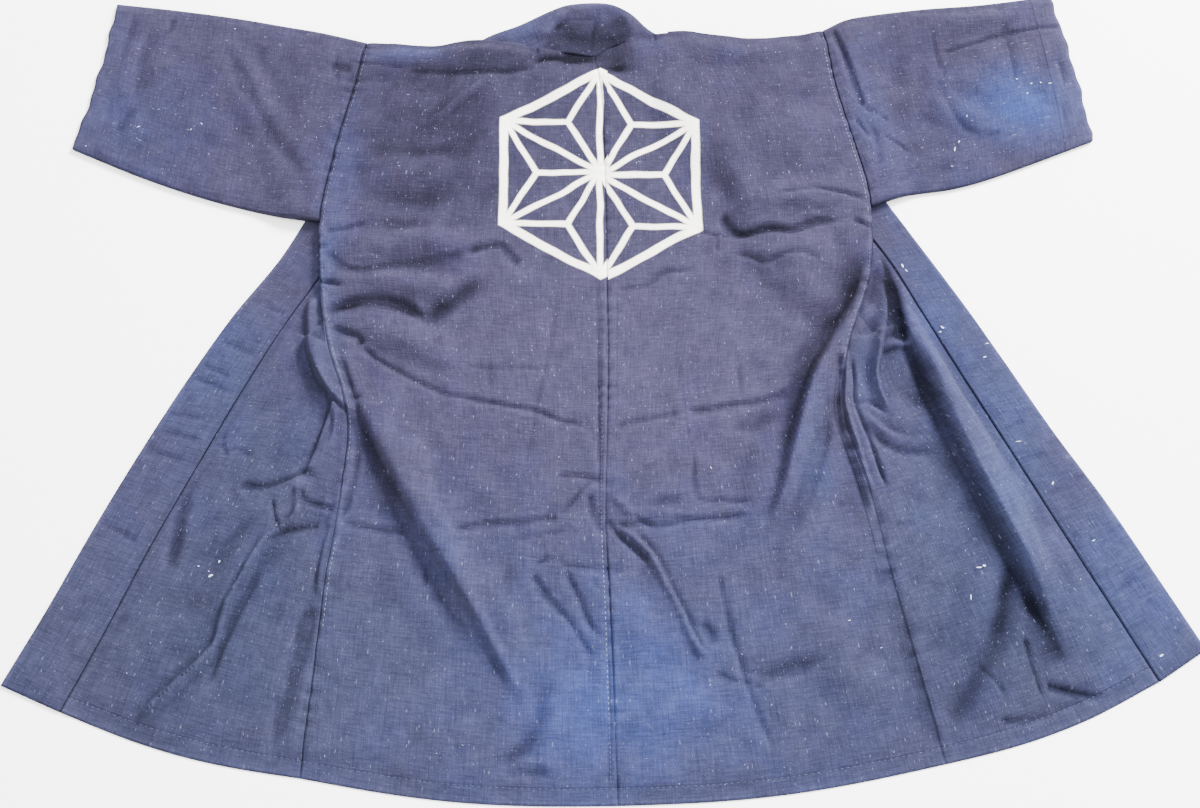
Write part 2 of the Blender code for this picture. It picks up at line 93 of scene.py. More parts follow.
LEFT_SECTIONS = (
    (-31.0, -40.0, 1.8, -42.7, -48.6, -35.5, -56.5, -33.4, -63.0, -30.7),
    (-30.3, -30.5, 1.5, -33.2, -45.7, -26.6, -52.6, -24.9, -59.0, -22.6),
    (-29.6, -20.5, 1.1, -23.2, -42.3, -17.3, -48.7, -15.9, -55.0, -13.9),
    (-28.4, -10.5, 0.6, -13.0, -38.6, -8.0, -44.4, -6.9, -50.7, -5.2),
    (-28.2, -1.0, 0.8, -3.0, -33.6, 0.6, -40.2, 1.6, -46.3, 3.0),
    (-30.6, 6.5, 0.9, 5.0, -33.2, 7.6, -36.3, 8.8, -41.9, 10.4),
    (-32.0, 14.0, 0.8, 13.5, -25.6, 13.6, -32.1, 15.6, -37.0, 17.4),
    (-32.5, 21.8, 0.7, 22.0, -20.8, 20.0, -27.6, 22.8, -32.8, 25.0),
    (-31.2, 31.0, 0.5, 30.0, -16.6, 28.4, -21.6, 31.6, -26.4, 34.0),
    (-29.6, 38.5, 0.2, 37.5, -13.0, 36.2, -15.6, 38.6, -19.4, 41.2),
    (-28.3, 45.2, -0.7, 43.5, -9.6, 43.6, -10.2, 44.1, -14.4, 45.2),
)
ARMPIT, SHOULDER, FIRST_FLIP, TURNED_OUT = 7, 10, 9, 5   # rows of those tables
BACK_ROWS = SHOULDER * ROW_STEPS
# The front's rows match the back's, with only every fourth where it is hidden.
FRONT_ROWS = np.concatenate((np.arange((TURNED_OUT + 1) * ROW_STEPS),
                             np.arange((TURNED_OUT + 1) * ROW_STEPS, BACK_ROWS + 1, 4)))

# Points x, y along each shoulder edge, from the armhole to the centre of the neck.
RIGHT_TOP = ((27.2, 46.9), (23.0, 45.9), (18.0, 45.2), (13.0, 46.0), (10.6, 46.5),
             (7.6, 46.5), (3.2, 45.9), (-0.7, 43.8))
LEFT_TOP = ((-28.3, 45.1), (-24.0, 44.7), (-19.5, 44.5), (-15.5, 45.3), (-12.0, 45.1),
            (-8.4, 44.6), (-4.2, 44.2), (-0.7, 43.8))
TOP_RUN = 1.375                    # sections over which the shoulder edge's shape comes in
HEM_BOW, HEM_RUN = 1.0, 26.0       # how far the hem sags, and how far up it is felt
FRONT_HEM_HALF = 14.0              # half the length of a front's hem

# Largest folds: height, reach on the left and on the right looking along it, how
# crisp its crest is, share of its length that fades, then points x, y along it.
BODY_FOLDS = (
    ("left hip roll", 2.1, 5.5, 2.6, 0, .38, (-28.8, 5), (-19.7, -12), (-6.8, -33)),
    ("left waist roll", .9, 2.2, 2.6, 0, .30, (-33.4, 15), (-33, 5), (-27, -3.5)),
    ("left rib gather", .9, 2.6, 2.4, 0, .40, (-31, 19.8), (-24, 17.8), (-12, 20.2)),
    ("left waist gather", .8, 2.8, 2.4, 0, .40, (-31, 15), (-24, 15.4), (-14, 12)),
    ("left flank gather", .8, 3.6, 2.6, 0, .45, (-29.5, 9.5), (-22, 8.4), (-12, 3)),
    ("left blade", .8, 3.4, 4.2, 0, .45, (-29, 28.5), (-22, 28.2), (-12, 27)),
    ("left yoke", .7, 2.6, 3.2, 0, .35, (-30, 42.6), (-18, 42.8), (-5, 44.2)),
    ("left blade slope", .5, 3.0, 3.4, 0, .45, (-21, 35), (-16, 39), (-11, 42)),
    ("left front pleat", 1.0, 3.2, 3.0, 0, .40, (-29.5, -5), (-36, -11), (-44.5, -30.5)),
    ("left seam pleat", .6, 2.8, 2.6, 0, .40, (-28.5, -9), (-32, -22), (-34.5, -35)),
    ("right hip roll", 1.7, 3.4, 4.4, 0, .32, (31.5, 14.5), (23, 3), (15.5, -20)),
    ("right front roll", 2.0, 4.4, 1.7, 0, .28, (35, 12), (40.2, -6), (49.9, -28)),
    ("right waist leaf", .8, 2.0, 2.2, 0, .35, (32.6, 17), (33.4, 12), (30.5, 4)),
    ("right hollow rim", .6, 2.6, 2.8, 0, .40, (30, 1), (33.5, -3), (38, -2)),
    ("right rib gather", .7, 3.4, 2.6, 0, .40, (14, 24), (22, 24.6), (31, 25.4)),
    ("right waist gather", .6, 2.8, 3.0, 0, .45, (12, 19.2), (20, 17.6), (28, 19.4)),
    ("right blade", .6, 5.0, 5.0, 0, .45, (16, 34), (22, 33), (29, 33.6)),
    ("right yoke", .6, 3.4, 3.0, 0, .40, (7, 45.2), (16, 44.4), (26, 45)),
    ("right skirt swell", .6, 4.4, 4.4, 0, .45, (22, -22), (25, -29), (33, -35)),
    ("right front swell", .7, 3.4, 3.8, 0, .45, (43, -14), (41.5, -23), (36.5, -35.5)),
    ("centre swell", .5, 5.0, 5.0, 0, .45, (-3, -17), (2, -23), (8, -28)),
)
# Creases that only the cloth has, listed the same way; a trough is negative.
BODY_CREASES = (
    # Left shoulder and blade.
    ("yoke line left", -.12, .5, .5, .8, .2, (-29.6, 42.4), (-26.5, 41.8), (-23, 41.4)),
    ("yoke edge left", -.18, 1.1, .6, .6, .3,
     (-24, 41.1), (-19, 40.8), (-14, 40.8), (-10, 41.2), (-7.4, 42)),
    ("yoke dark left", -.30, .9, .7, .4, .35, (-9, 41.9), (-6.6, 42.8), (-4, 43.2), (-1.4, 43)),
    ("neck crumple a", .26, .4, .5, .8, .25, (-4.4, 41.6), (-3.6, 42.4), (-2.6, 42)),
    ("neck crumple b", -.30, .4, .5, .8, .25, (-4, 42.7), (-2.8, 42.7), (-1.2, 42.9)),
    ("neck crumple c", .24, .4, .5, .8, .25, (-2.2, 42.3), (-1.3, 42.5), (-.6, 41.8)),
    ("neck hollow right", -.24, 1.1, 1.4, .2, .3, (.1, 42.8), (1.2, 41.9), (3.8, 41.3)),
    ("yoke tail left", .30, .5, .9, .8, .3,
     (-20.4, 34), (-18, 36.2), (-15, 38.8), (-12.6, 40.9)),
    ("yoke tail foot", -.08, .7, .7, .4, .4, (-19.2, 34.2), (-16.2, 36.8), (-13.2, 39.6)),
    ("seam band left", -.12, 1.3, 1.3, 0, .4, (-31, 40.6), (-28.4, 40.1), (-24.4, 40)),
    ("blade dip left", -.08, 1.6, 1.6, 0, .45, (-28, 30.8), (-23, 30), (-18, 30.6), (-16, 32)),
    ("low blade dip left", -.08, 2.4, 2.6, 0, .45,
     (-29, 25.8), (-25, 24), (-20, 23.8), (-15, 25.4), (-12.6, 28)),
    ("blade hollow left", -.20, 3.2, 3.0, 0, .4,
     (-14.6, 38), (-15.6, 34), (-17, 30), (-18.4, 26)),
    ("side dip left", -.07, 1.0, 1.0, .1, .4, (-29.4, 28.4), (-27, 27.8), (-24.4, 28)),
    ("side dip left b", -.07, .9, .9, .1, .4, (-30, 33), (-27.6, 32.6), (-25, 33)),
    ("side dip left c", -.09, 1.4, 1.4, .1, .4, (-27, 22), (-22, 21), (-17, 21.4)),
    ("armpit pucker left", -.22, .6, .6, .6, .3, (-32, 20.4), (-30, 20.6), (-27, 21.5)),
    # Left gathers from the armpit and the waist.
    ("rib trough left", -.32, .8, 1.5, .5, .35,
     (-32, 17.6), (-30.9, 17.2), (-30, 16.4), (-29, 15.8), (-27.5, 15.5), (-25, 15.7),
     (-22, 16), (-19.5, 16.3), (-17, 16.8)),
    ("rib crest left", .20, 3.0, .8, .1, .25,
     (-31.6, 18.4), (-27, 17), (-21, 17.4), (-15, 18.7), (-10.6, 19.6)),
    ("rib end left", -.44, 1.0, .6, .6, .2,
     (-15.4, 17.8), (-14, 18.5), (-12, 18.9), (-11.2, 18.4), (-10.2, 17.2), (-9.5, 16.2)),
    ("waist nick left", -.42, .6, .5, .5, .3, (-32.4, 14.2), (-30.9, 14), (-29.4, 13.7)),
    ("waist trough left", -.50, .8, 1.9, .4, .3,
     (-32, 10.8), (-30, 11.4), (-28, 11.9), (-25.5, 12.2), (-23.5, 12), (-21.7, 11.3),
     (-20.4, 10.2), (-19.4, 9)),
    ("waist hollow left", -.26, 1.8, 2.0, 0, .4, (-20.2, 8.4), (-17.8, 12.2), (-13, 14.8)),
    ("flank trough left", -.36, .7, .9, .5, .2,
     (-30.6, 8.6), (-28.8, 8.2), (-27.4, 7.7), (-26.9, 6.7)),
    ("waist arc", -.26, .6, .6, .8, .12,
     (-27, 6.7), (-25.5, 5.3), (-23, 3.8), (-20.5, 2.4), (-17.5, 1.1), (-14.5, .5),
     (-11, -.2), (-7, -1), (-4.5, -2), (-1, -2.7)),
    ("waist arc right", -.24, .5, .7, .8, .2, (1.6, -2.7), (5, -1.9), (9.2, -1)),
    ("blot left", -.08, 1.0, 1.0, 0, .35, (-19, 7.6), (-17.8, 5.2)),
    ("line a", -.10, .5, .5, .8, .3, (-4.8, 14), (-5.6, 7), (-6.8, 1), (-7.6, -4), (-8.6, -9.5)),
    ("line b", -.08, .5, .5, .8, .3, (-12.4, 5.4), (-12.3, -1.8)),
    ("line c", -.08, .5, .5, .8, .3, (8.5, 7), (9.3, 0), (10, -5)),
    ("line d", -.13, .5, .5, .8, .3, (15.5, 6.4), (15.8, 0)),
    ("line e", -.09, .6, .6, .6, .3, (-10, -18), (-9.7, -22.4)),
    ("line f", -.09, .5, .5, .8, .3, (-16, 4.2), (-10.6, 4.0), (-4, 4.1)),
    # Back below the waist: the pucker at the centre seam and what runs out of it.
    ("seam line left", -.22, .45, .45, .9, .08,
     (-.2, 15), (-.05, 8), (-.05, 0), (0, -6), (.1, -9), (-.1, -11), (.1, -14)),
    ("seam line low", -.14, .4, .4, .9, .08, (.3, -15), (.8, -20), (1, -26), (1.1, -34), (1, -41.6)),
    ("seam band low", .14, .5, .5, .2, .08, (.9, -15), (1.3, -22), (1.6, -30), (1.6, -41)),
    ("seam band", .16, .5, .5, .2, .1, (.4, 15), (.45, 0), (.5, -8), (.2, -12)),
    ("seat nick", -.30, .4, .7, .8, .2, (-4.8, -8.1), (-3, -8.2), (-1.2, -8.5), (.2, -8.7)),
    ("seat slant", -.28, .5, .6, .8, .2, (-1, -8.9), (-1.9, -9.8), (-3, -11.2), (-4.5, -12.8)),
    ("seat line left", -.26, .5, .8, .7, .15,
     (-16, -14.4), (-13, -13.7), (-10, -13.5), (-8, -13.4), (-6, -13), (-4.4, -13)),
    ("seat line left b", -.14, .4, .5, .8, .3, (-9.4, -15.2), (-6.2, -14.8), (-2.6, -14)),
    ("seat hook", -.50, .9, .5, .7, .2, (-1.1, -10.2), (-1.05, -12), (-.5, -13.3), (.3, -14.9)),
    ("seat upright", .16, .5, .5, .7, .3, (-5.9, -14.6), (-5.4, -17.4)),
    ("seat ridge foot", -.50, .4, .9, .8, .2,
     (.7, -12.9), (1.5, -14), (2.5, -15), (4, -16.4), (5.8, -17.8)),
    ("seat ridge", .42, .4, .8, .9, .12,
     (1.6, -13.8), (3.4, -14.9), (5, -16.4), (6.1, -18), (7, -19.8), (8.2, -22),
     (9.2, -24.3), (10.3, -26.6), (11.2, -27.9)),
    ("seat ridge shade", -.20, .5, .3, .8, .15,
     (4, -14.6), (5.3, -15.9), (6.7, -18), (7.7, -20.2), (8.9, -22.6), (10, -25), (11.3, -27.4)),
    ("seat patch", -.30, 1.2, 1.0, .2, .3, (10.4, -23.8), (11.6, -25.4), (12, -27)),
    ("seat line right", -.32, .5, .7, .7, .15,
     (1.4, -13.6), (3.2, -13.8), (4.4, -13.4), (5.8, -13.8), (7.5, -13.7), (9, -13.2),
     (12, -13), (17.6, -12.5)),
    ("seat crumple a", -.26, .6, .6, .6, .25, (3.6, -12.5), (4.6, -13.3), (5.8, -13.8)),
    ("seat crumple b", -.20, 1.0, 1.0, .1, .35, (5.4, -11.4), (9.2, -10.7)),
    ("seat crumple c", .24, .9, .7, .4, .3, (1.2, -10.4), (2.6, -11.6), (3.8, -13)),
    ("seat crumple d", .20, .8, .8, .4, .3, (4.6, -12.2), (7, -12.4), (9.4, -12.2)),
    ("seat line upper", -.20, .4, .6, .8, .2,
     (10.4, -5.6), (10.4, -8.8), (10.8, -10.8), (13, -11), (17.8, -11.2)),
    ("seat line low", -.22, .4, .6, .8, .2,
     (-7.2, -18.3), (-6, -17.5), (-4.5, -17.5), (-3.8, -18), (-2, -18.3), (1, -18.6), (4, -18.3)),
    ("drape left a", -.30, .5, .9, .7, .15,
     (-7.4, -18.8), (-6.4, -20.3), (-5.2, -21.9), (-3.6, -23.6), (-2.3, -25.4), (-.6, -28)),
    ("drape left b", -.26, .5, .8, .7, .2,
     (-3.8, -18.2), (-3, -20), (-2.1, -21.8), (-1.4, -23.6), (-.2, -25.6)),
    ("drape left c", -.12, .5, .6, .6, .3, (-.8, -18.8), (-.4, -21)),
    ("skirt trough left", -.30, 1.9, 1.4, .1, .3,
     (-12, -39), (-8.4, -37.6), (-6.4, -34.6), (-5.4, -28.4)),
    ("skirt hem left", -.22, 1.0, 1.0, .1, .35, (-10.4, -39.4), (-4.4, -39.5)),
    ("skirt line right", -.22, .5, .8, .7, .15,
     (12.8, -19), (13.3, -21.6), (13.9, -25), (14.6, -27.4), (16, -32), (18.2, -37.6)),
    ("skirt nick right", -.20, .6, .8, .6, .25, (12, -29.3), (14.4, -30.2), (17.4, -30.8)),
    ("skirt valley right", -.30, 1.7, 1.2, .2, .3,
     (14, -28.4), (16.6, -29.6), (20, -29.2), (25.6, -27.3)),
    ("skirt swell right", .26, 2.6, 2.6, 0, .4, (5, -35), (8.6, -33.4), (13, -31.4)),
    # The left hip's ridge and what lies beside it.
    ("hip crest left", .22, 2.6, .6, .5, .22,
     (-29.4, 6.3), (-28.4, 4.7), (-27.4, 2), (-26.4, -.6), (-24.6, -4.8), (-21, -11),
     (-15, -20), (-10, -28.6), (-7.4, -33)),
    ("hip foot left", -.20, .5, .8, .5, .3,
     (-29.2, 5), (-27.9, 2), (-26.7, -1.6), (-25.4, -4.4), (-22, -10.6), (-15.8, -20.2),
     (-10.9, -28.8), (-8.4, -33.4)),
    ("hip slope left", .20, 2.6, 2.6, 0, .35, (-24.6, -13), (-20, -20.6), (-15, -28)),
    ("hip echo right", -.26, 1.8, 1.0, .1, .3,
     (-16, -14.6), (-13.4, -20.4), (-10.4, -26), (-7.6, -31.6)),
    ("seat side left", -.22, .5, .7, .7, .25, (-28.6, -13.1), (-25, -14.1), (-21, -14.5), (-18.3, -15.2)),
    ("seat tick left", -.24, .5, .5, .8, .25, (-18.5, -15.4), (-18.7, -20.4)),
    # The left front: the strip at the seam, the pucker, and the long crease.
    ("strip left", .60, 2.6, .5, .6, .15,
     (-33.2, 13.4), (-33, 9), (-32.3, 5.5), (-31.1, 3), (-29.8, 1), (-28.4, -.4), (-27.3, -1.3)),
    ("strip foot left", -.40, .6, 1.6, .4, .2,
     (-33.9, 10), (-33.1, 5.6), (-31.9, 2.6), (-30.3, .2), (-29.9, -3), (-31, -6.8)),
    ("strip end left", -.22, .7, .9, .6, .3, (-28.6, -1.2), (-27.6, .2), (-26.4, .8)),
    ("pleat edge left", .62, 2.2, .5, .9, .12,
     (-29.4, .2), (-30.2, -2), (-30.7, -4), (-31.3, -6), (-32.1, -8)),
    ("pleat line left", -.44, .4, 1.0, .8, .2,
     (-31.9, -7.6), (-33.5, -8.6), (-34.8, -9.2), (-36.2, -9.6), (-38, -9.7), (-39.8, -9.4)),
    ("pleat slope left", .34, 1.4, 2.4, .6, .2,
     (-32.2, -8.3), (-34.2, -9.7), (-36, -10.7), (-38.6, -12.7), (-43.4, -17)),
    ("pleat tick left", .16, .4, .5, .9, .3, (-39.8, -9.4), (-39, -10.7), (-38, -11.8)),
    ("facet a", .44, .4, .7, .9, .25, (-32.9, -9.2), (-32.8, -11), (-32.9, -12.6)),
    ("facet b", -.34, .5, .6, .8, .2,
     (-32.8, -9.8), (-32.2, -11), (-30.5, -11.6), (-28.6, -12.2)),
    ("facet c", .46, 1.1, .4, .8, .25, (-32.8, -12), (-33.9, -13.7), (-36.2, -15.4)),
    ("facet d", -.34, .4, .4, .8, .25, (-35.6, -11), (-35.2, -12.8), (-34.7, -14.3)),
    ("facet e", -.42, .5, .7, .8, .2,
     (-36, -15.5), (-34.3, -14.6), (-32.5, -14.1), (-30.2, -13.8)),
    ("long crease left", .62, 1.3, .5, .9, .08,
     (-35.6, -14.6), (-37.1, -17.2), (-38.2, -19.6), (-39.5, -22), (-40.2, -24.2),
     (-40.7, -26.4), (-42.6, -28.6), (-45, -31), (-48.4, -34.3)),
    ("long shade left", -.30, .9, .4, .4, .15,
     (-36.4, -18.4), (-38, -21.6), (-39.4, -24.6), (-40.5, -27.8), (-41.2, -31)),
    ("pleat side left", .26, .6, 1.2, .9, .15,
     (-27.4, -4.8), (-27.8, -8), (-28.4, -11), (-29, -13.4), (-29.7, -16), (-30.2, -21)),
    ("pleat side shade", -.24, .5, .4, .7, .2,
     (-26.7, -5.4), (-27, -8.6), (-27.6, -11.6), (-28.4, -13.2)),
    ("side shade left", -.26, .5, .8, .5, .2, (-29.3, -13.6), (-30.1, -17), (-30.6, -22)),
    ("dark run left", -.42, 1.8, 1.6, .1, .2,
     (-30.8, -21), (-31.8, -27), (-32.8, -32), (-34.2, -38)),
    ("upright left", -.34, 1.5, 1.3, .1, .3, (-45.3, -8), (-45.9, -13), (-46.3, -20)),
    ("arc left", -.06, 2.2, 2.2, 0, .35, (-46, -20), (-43.4, -23.6), (-40.4, -22.4)),
    ("tick left a", -.20, .5, .5, .7, .3, (-41.5, -3.6), (-41.9, -4.6), (-41, -6.2)),
    ("tick left b", -.14, .5, .5, .7, .3, (-40.8, -5.1), (-38.2, -6.1)),
    ("tick left c", -.12, .5, .5, .7, .3, (-43.4, -4.4), (-41.8, -5.4)),
    # Right shoulder, blade and gathers.
    ("rib trough right", -.52, 1.2, .7, .5, .25,
     (14.9, 23.2), (14.4, 22), (14.8, 20.9), (15.8, 20.1), (17, 20), (18.4, 20.4),
     (20, 20.6), (22.3, 20.4), (24, 21.1), (26, 21.6), (29, 21.8)),
    ("rib hollow right", -.24, 2.8, 2.4, 0, .4, (12.6, 34), (13.2, 29), (14.8, 25.4), (18, 23.4)),
    ("rib shade right", -.10, .9, .9, .1, .35, (18.6, 22.9), (23, 23.5), (27.6, 22.9)),
    ("rib line right", -.24, .5, .6, .7, .2,
     (20.8, 25.1), (23, 25.3), (25, 25.7), (27, 25.4), (29, 25), (31.4, 24.4)),
    ("rib nick right", -.20, .5, .5, .7, .25, (10.8, 20.9), (12.6, 20.4), (15.2, 20)),
    ("rib tick right", -.14, .5, .5, .7, .3, (13.4, 20.4), (13.6, 18.2)),
    ("waist wave right", -.22, .5, .7, .6, .2,
     (15.3, 18), (17.5, 17.4), (18.6, 16.8), (20, 17), (21.6, 17.6), (23.5, 17.7), (26, 16.8)),
    ("waist dip right", -.12, 1.4, 1.4, 0, .4, (16.4, 19.4), (19, 18.8), (22.6, 19)),
    ("waist fold right", -.20, .7, .7, .5, .3, (1.6, 13.4), (5, 13.9), (7.6, 15.6), (11.4, 15.8)),
    ("armpit pucker right", -.28, .6, .6, .6, .3, (29.2, 21.9), (30.4, 21.5), (31.5, 20.8)),
    ("armhole recess a", -.30, .9, .9, .5, .25, (27, 47), (28.8, 44.6), (29.8, 42.4)),
    # The right hip's ridge, its valley, and the waist fold that runs into it.
    ("hip crest right", .50, 2.2, .7, .5, .2,
     (31, 12.4), (30.1, 10.6), (28.6, 9.3), (26.6, 7.2), (25, 4.8), (23.9, 2.6), (23, .2),
     (22, -3), (21, -6.5), (19.6, -11), (17.6, -15.4)),
    ("hip foot right", -1.05, .7, 3.3, .3, .35,
     (30.6, 18.6), (29.6, 14.6), (28.4, 11.4), (26.2, 8.2), (24.1, 5), (22.8, 2),
     (21.8, -.8), (20.7, -4.6), (19.6, -8.6), (18.2, -13), (17, -16)),
    ("waist step right", -.34, .4, 1.4, .6, .2,
     (9.4, -.9), (12, -.6), (14.5, -.2), (17, .1), (19.5, .8), (21.5, 2.1), (23.2, 3.6)),
    ("waist shade right", -.22, 1.7, 1.7, 0, .35, (13.6, -3.4), (17.4, -2.8), (20.6, -.4)),
    ("hip band side", -.24, .8, 1.4, .2, .3, (25.6, -1), (24.8, -5), (23.6, -9), (20.4, -16)),
    ("seam lap right", .34, .6, .6, .3, .1,
     (27.3, 6.4), (27.5, 3), (27.4, 0), (28, -3), (28.9, -7), (30, -11)),
    ("seam lap left side", -.34, .4, .9, .6, .15,
     (26.6, 5.8), (26.8, 3), (26.6, 0), (26.8, -2), (27.3, -5), (28.4, -9), (29.6, -13)),
    ("seam lap right side", -.28, .6, .4, .6, .15,
     (28.2, 5.4), (28.5, 2.6), (28.4, .4), (29, -1.8), (29.9, -4.4), (30.6, -7), (31.5, -10)),
    # The right front: the leaf, the hollow beside the roll, and the skirt.
    ("leaf right", .62, .6, 1.3, .7, .12,
     (31.9, 18.6), (32.6, 16), (32.7, 13), (32.4, 10), (31.8, 8.2), (31.4, 6), (31, 4),
     (31, 2.6), (31.3, 1.2), (32, -.6)),
    ("leaf shade", -.12, .5, .4, .6, .2, (33, 15), (33.1, 12), (32.4, 8.6), (31.8, 5)),
    ("leaf vein", -.12, .5, .5, .7, .3, (31.8, 16.4), (31.2, 13), (30.5, 10.8)),
    ("hollow rim", .40, 1.4, .5, .8, .3, (31.6, 6.0), (32.6, 6.5), (34, 6.8), (35.4, 6.7)),
    ("hollow", -.70, 1.2, 1.2, .3, .3, (33, 15), (33.8, 11.6), (34.2, 8.8)),
    ("arc right a", -.18, .9, .5, .5, .3, (28.4, -.3), (29.6, .1), (31, -.6), (32.2, -1.7)),
    ("arc right b", .26, .8, 1.2, .3, .25,
     (29, -.9), (30.4, -2.4), (32.4, -3.9), (34.6, -4.4), (37.4, -4)),
    ("arc right c", -.18, .8, .8, .2, .3, (29.6, -2.6), (31.8, -5), (34.6, -5.8), (37.6, -5.4)),
    ("roll crest right", .50, 4.6, .6, .6, .5,
     (32.4, 18.6), (33.6, 13.3), (34.6, 9.9), (35.7, 5.9), (37, 2.4), (38.5, -1.4), (40, -4.7),
     (41.5, -8.3), (43.1, -11.6), (44.9, -15.6), (45.8, -18.1), (46.7, -21.1), (47.7, -23.4),
     (49.2, -26.2)),
    ("roll foot right", -.20, .4, 1.2, .4, .15,
     (31.2, 19.2), (31.9, 16.4), (32.9, 13.3), (33.8, 9.9), (34.8, 5.9), (36.1, 2.4), (37.6, -1.4),
     (39.1, -4.7), (40.6, -8.3), (42.2, -11.6), (44, -15.6), (44.9, -18.1), (45.8, -21.1),
     (46.8, -23.8), (48.6, -27.2)),
    ("slant right", -.30, 2.4, 2.0, 0, .2,
     (45, -16.4), (43.4, -21), (42, -24.6), (40.2, -28.4), (38, -32.4), (35.8, -36)),
    ("skirt crest right", .26, 1.6, 1.8, .2, .3, (45, -17), (44.4, -22), (43.4, -28)),
    ("thin crease right", -.22, .5, .5, .9, .2, (45, -25.6), (45.4, -28.5), (46.4, -32)),
    ("thin crease right b", -.12, .5, .5, .8, .3, (39.6, -28.4), (41.5, -30.2), (42.6, -32)),
    ("faint right", -.10, .5, .6, .6, .3, (31.6, -13.7), (34, -13.4), (37.2, -11.8)),
    ("hem fold right a", -.62, .4, 1.0, .9, .06,
     (46.8, -30.6), (49.5, -31.3), (52, -31.7), (53.5, -31.5), (54.6, -30.9), (57.6, -29.7)),
    ("hem fold right b", -.46, .4, .8, .9, .08,
     (41.6, -34.2), (44, -34.1), (46, -33.7), (48, -32.9), (50.2, -32)),
    ("hem fold right c", -.26, .5, .5, .7, .3, (50.2, -32.4), (49, -34.4)),
)
LOFT = 0.45                        # how far a lying panel stands off the floor
DEPTH = 1.5                        # how deep the creases are pressed
LOFT_RUN = 4.0                     # width over which it comes down to a free edge


def smooth(low, high, value):
    """Ease from 0 at low to 1 at high."""
    share = np.clip((value - low) / (high - low), 0.0, 1.0)
    return share * share * (3.0 - 2.0 * share)


def through(points, place):
    """A smooth curve through the points, read at fractional indices."""
    points = np.asarray(points, float)
    padded = np.vstack((2 * points[0] - points[1], points, 2 * points[-1] - points[-2]))
    place = np.asarray(place, float)
    start = np.clip(np.floor(place).astype(int), 0, len(points) - 2)
    t = (place - start)[..., None]
    a, b, c, d = (padded[start + step] for step in range(4))
    return 0.5 * (2 * b + (c - a) * t + (2 * a - 5 * b + 4 * c - d) * t * t
                  + (3 * b - a - 3 * c + d) * t ** 3)


def relief(table, x, y):
    """The height that the folds or creases of a table add at places x, y; for the tables of
    shades the same sum is painted shade and painted light.
    """
    total = np.zeros_like(x)
    for number, (_, height, left, right, crisp, fade, *points) in enumerate(table):
        if len(points) == 3 and not crisp:      # a fold: bends like a bow
            t = np.linspace(0.0, 1.0, 15)[:, None]
            a, b, c = (np.array(point, float) for point in points)
            line = a * (1 - t) ** 2 + 2 * b * t * (1 - t) + c * t * t
        else:
            line = through(points, np.linspace(0, len(points) - 1, 5 * len(points) - 4))
        reach = max(left, right)
        near = ((x > line[:, 0].min() - reach) & (x < line[:, 0].max() + reach)
                & (y > line[:, 1].min() - reach) & (y < line[:, 1].max() + reach))
        px, py = x[near], y[near]
        best = np.full(px.shape, 1e9)
        side, along = np.zeros_like(px), np.zeros_like(px)
        for step, (first, last) in enumerate(zip(line[:-1], line[1:])):
            dx, dy = last - first
            share = ((px - first[0]) * dx + (py - first[1]) * dy) / (dx * dx + dy * dy)
            share = np.clip(share, 0.0, 1.0)
            nx, ny = px - first[0] - dx * share, py - first[1] - dy * share
            away = np.hypot(nx, ny)
            closer = away < best
            best = np.where(closer, away, best)
            side = np.where(closer, dx * ny - dy * nx, side)
            along = np.where(closer, (step + share) / (len(line) - 1), along)
        u = np.clip(best / np.where(side > 0, left, right), 0.0, 1.0)
        profile = np.cos(0.5 * math.pi * u) ** 2 * (1 - crisp) + (1 - u) ** 2 * crisp
        if crisp > 0.4:
            fade = 0.6 * fade
        ends = smooth(0.0, fade, along) * smooth(0.0, fade, 1.0 - along)
        # A crisp crease is uneven along its run, each row of the table in its own way.
        uneven = 1.0 + (0.22 * np.sin(9.0 * along + 2.4 * number) if crisp else 0.0)
        total[near] += height * ends * uneven * profile
    return total


# Wavelength, heading, phase and height of each swell.
SWELLS = ((11.3, 0.4, 0.0, 0.055), (8.1, 1.9, 1.3, 0.050), (6.2, 2.7, 4.1, 0.040),
          (4.7, 1.1, 2.2, 0.030), (3.6, 0.1, 5.0, 0.022), (2.9, 2.2, 0.7, 0.016))


def cockle(x, y):
    """The cloth's slight unevenness, in swells a few centimetres apart."""
    total = np.zeros_like(x)
    for wave, angle, start, height in SWELLS:
        across = x * math.cos(angle) + y * math.sin(angle)
        bend = 0.9 * np.sin((x * math.sin(angle) - y * math.cos(angle)) / wave * 1.7 + start)
        total += height * np.sin(2 * math.pi * across / wave + start + bend)
    return total


RIPPLE_HEIGHT, RIPPLE_WAVE, RIPPLE_REACH = 0.10, 1.9, 1.1


def pucker(along, away, seed):
    """Short ripples that a seam draws up beside itself."""
    wobble = np.sin(along * 0.61 + seed) + 0.6 * np.sin(along * 0.23 + 2 * seed)
    ripple = np.sin(2 * math.pi * along / RIPPLE_WAVE + 2.2 * wobble)
    return RIPPLE_HEIGHT * (0.7 + 0.4 * wobble) * ripple * np.exp(-(away / RIPPLE_REACH) ** 2)


EASED_FROM, EASED_BY = 2.1, 0.85           # where folds start to be eased, and their spare


def ease_top(height):
    """Keeps the highest folds as low as cloth of this weight lets them stand."""
    eased = EASED_FROM + EASED_BY * np.tanh((height - EASED_FROM) / EASED_BY)
    return np.where(height > EASED_FROM, eased, height)


def ridge_edge(sections, y):
    """x of the fold of the hidden front at a height y of the plan."""
    rows = sorted((row[5], row[4]) for row in sections[TURNED_OUT:])
    return np.interp(y, [row[0] for row in rows], [row[1] for row in rows])


def side_of(sections):
    """1 for the right strip and -1 for the left."""
    return 1.0 if sections is RIGHT_SECTIONS else -1.0


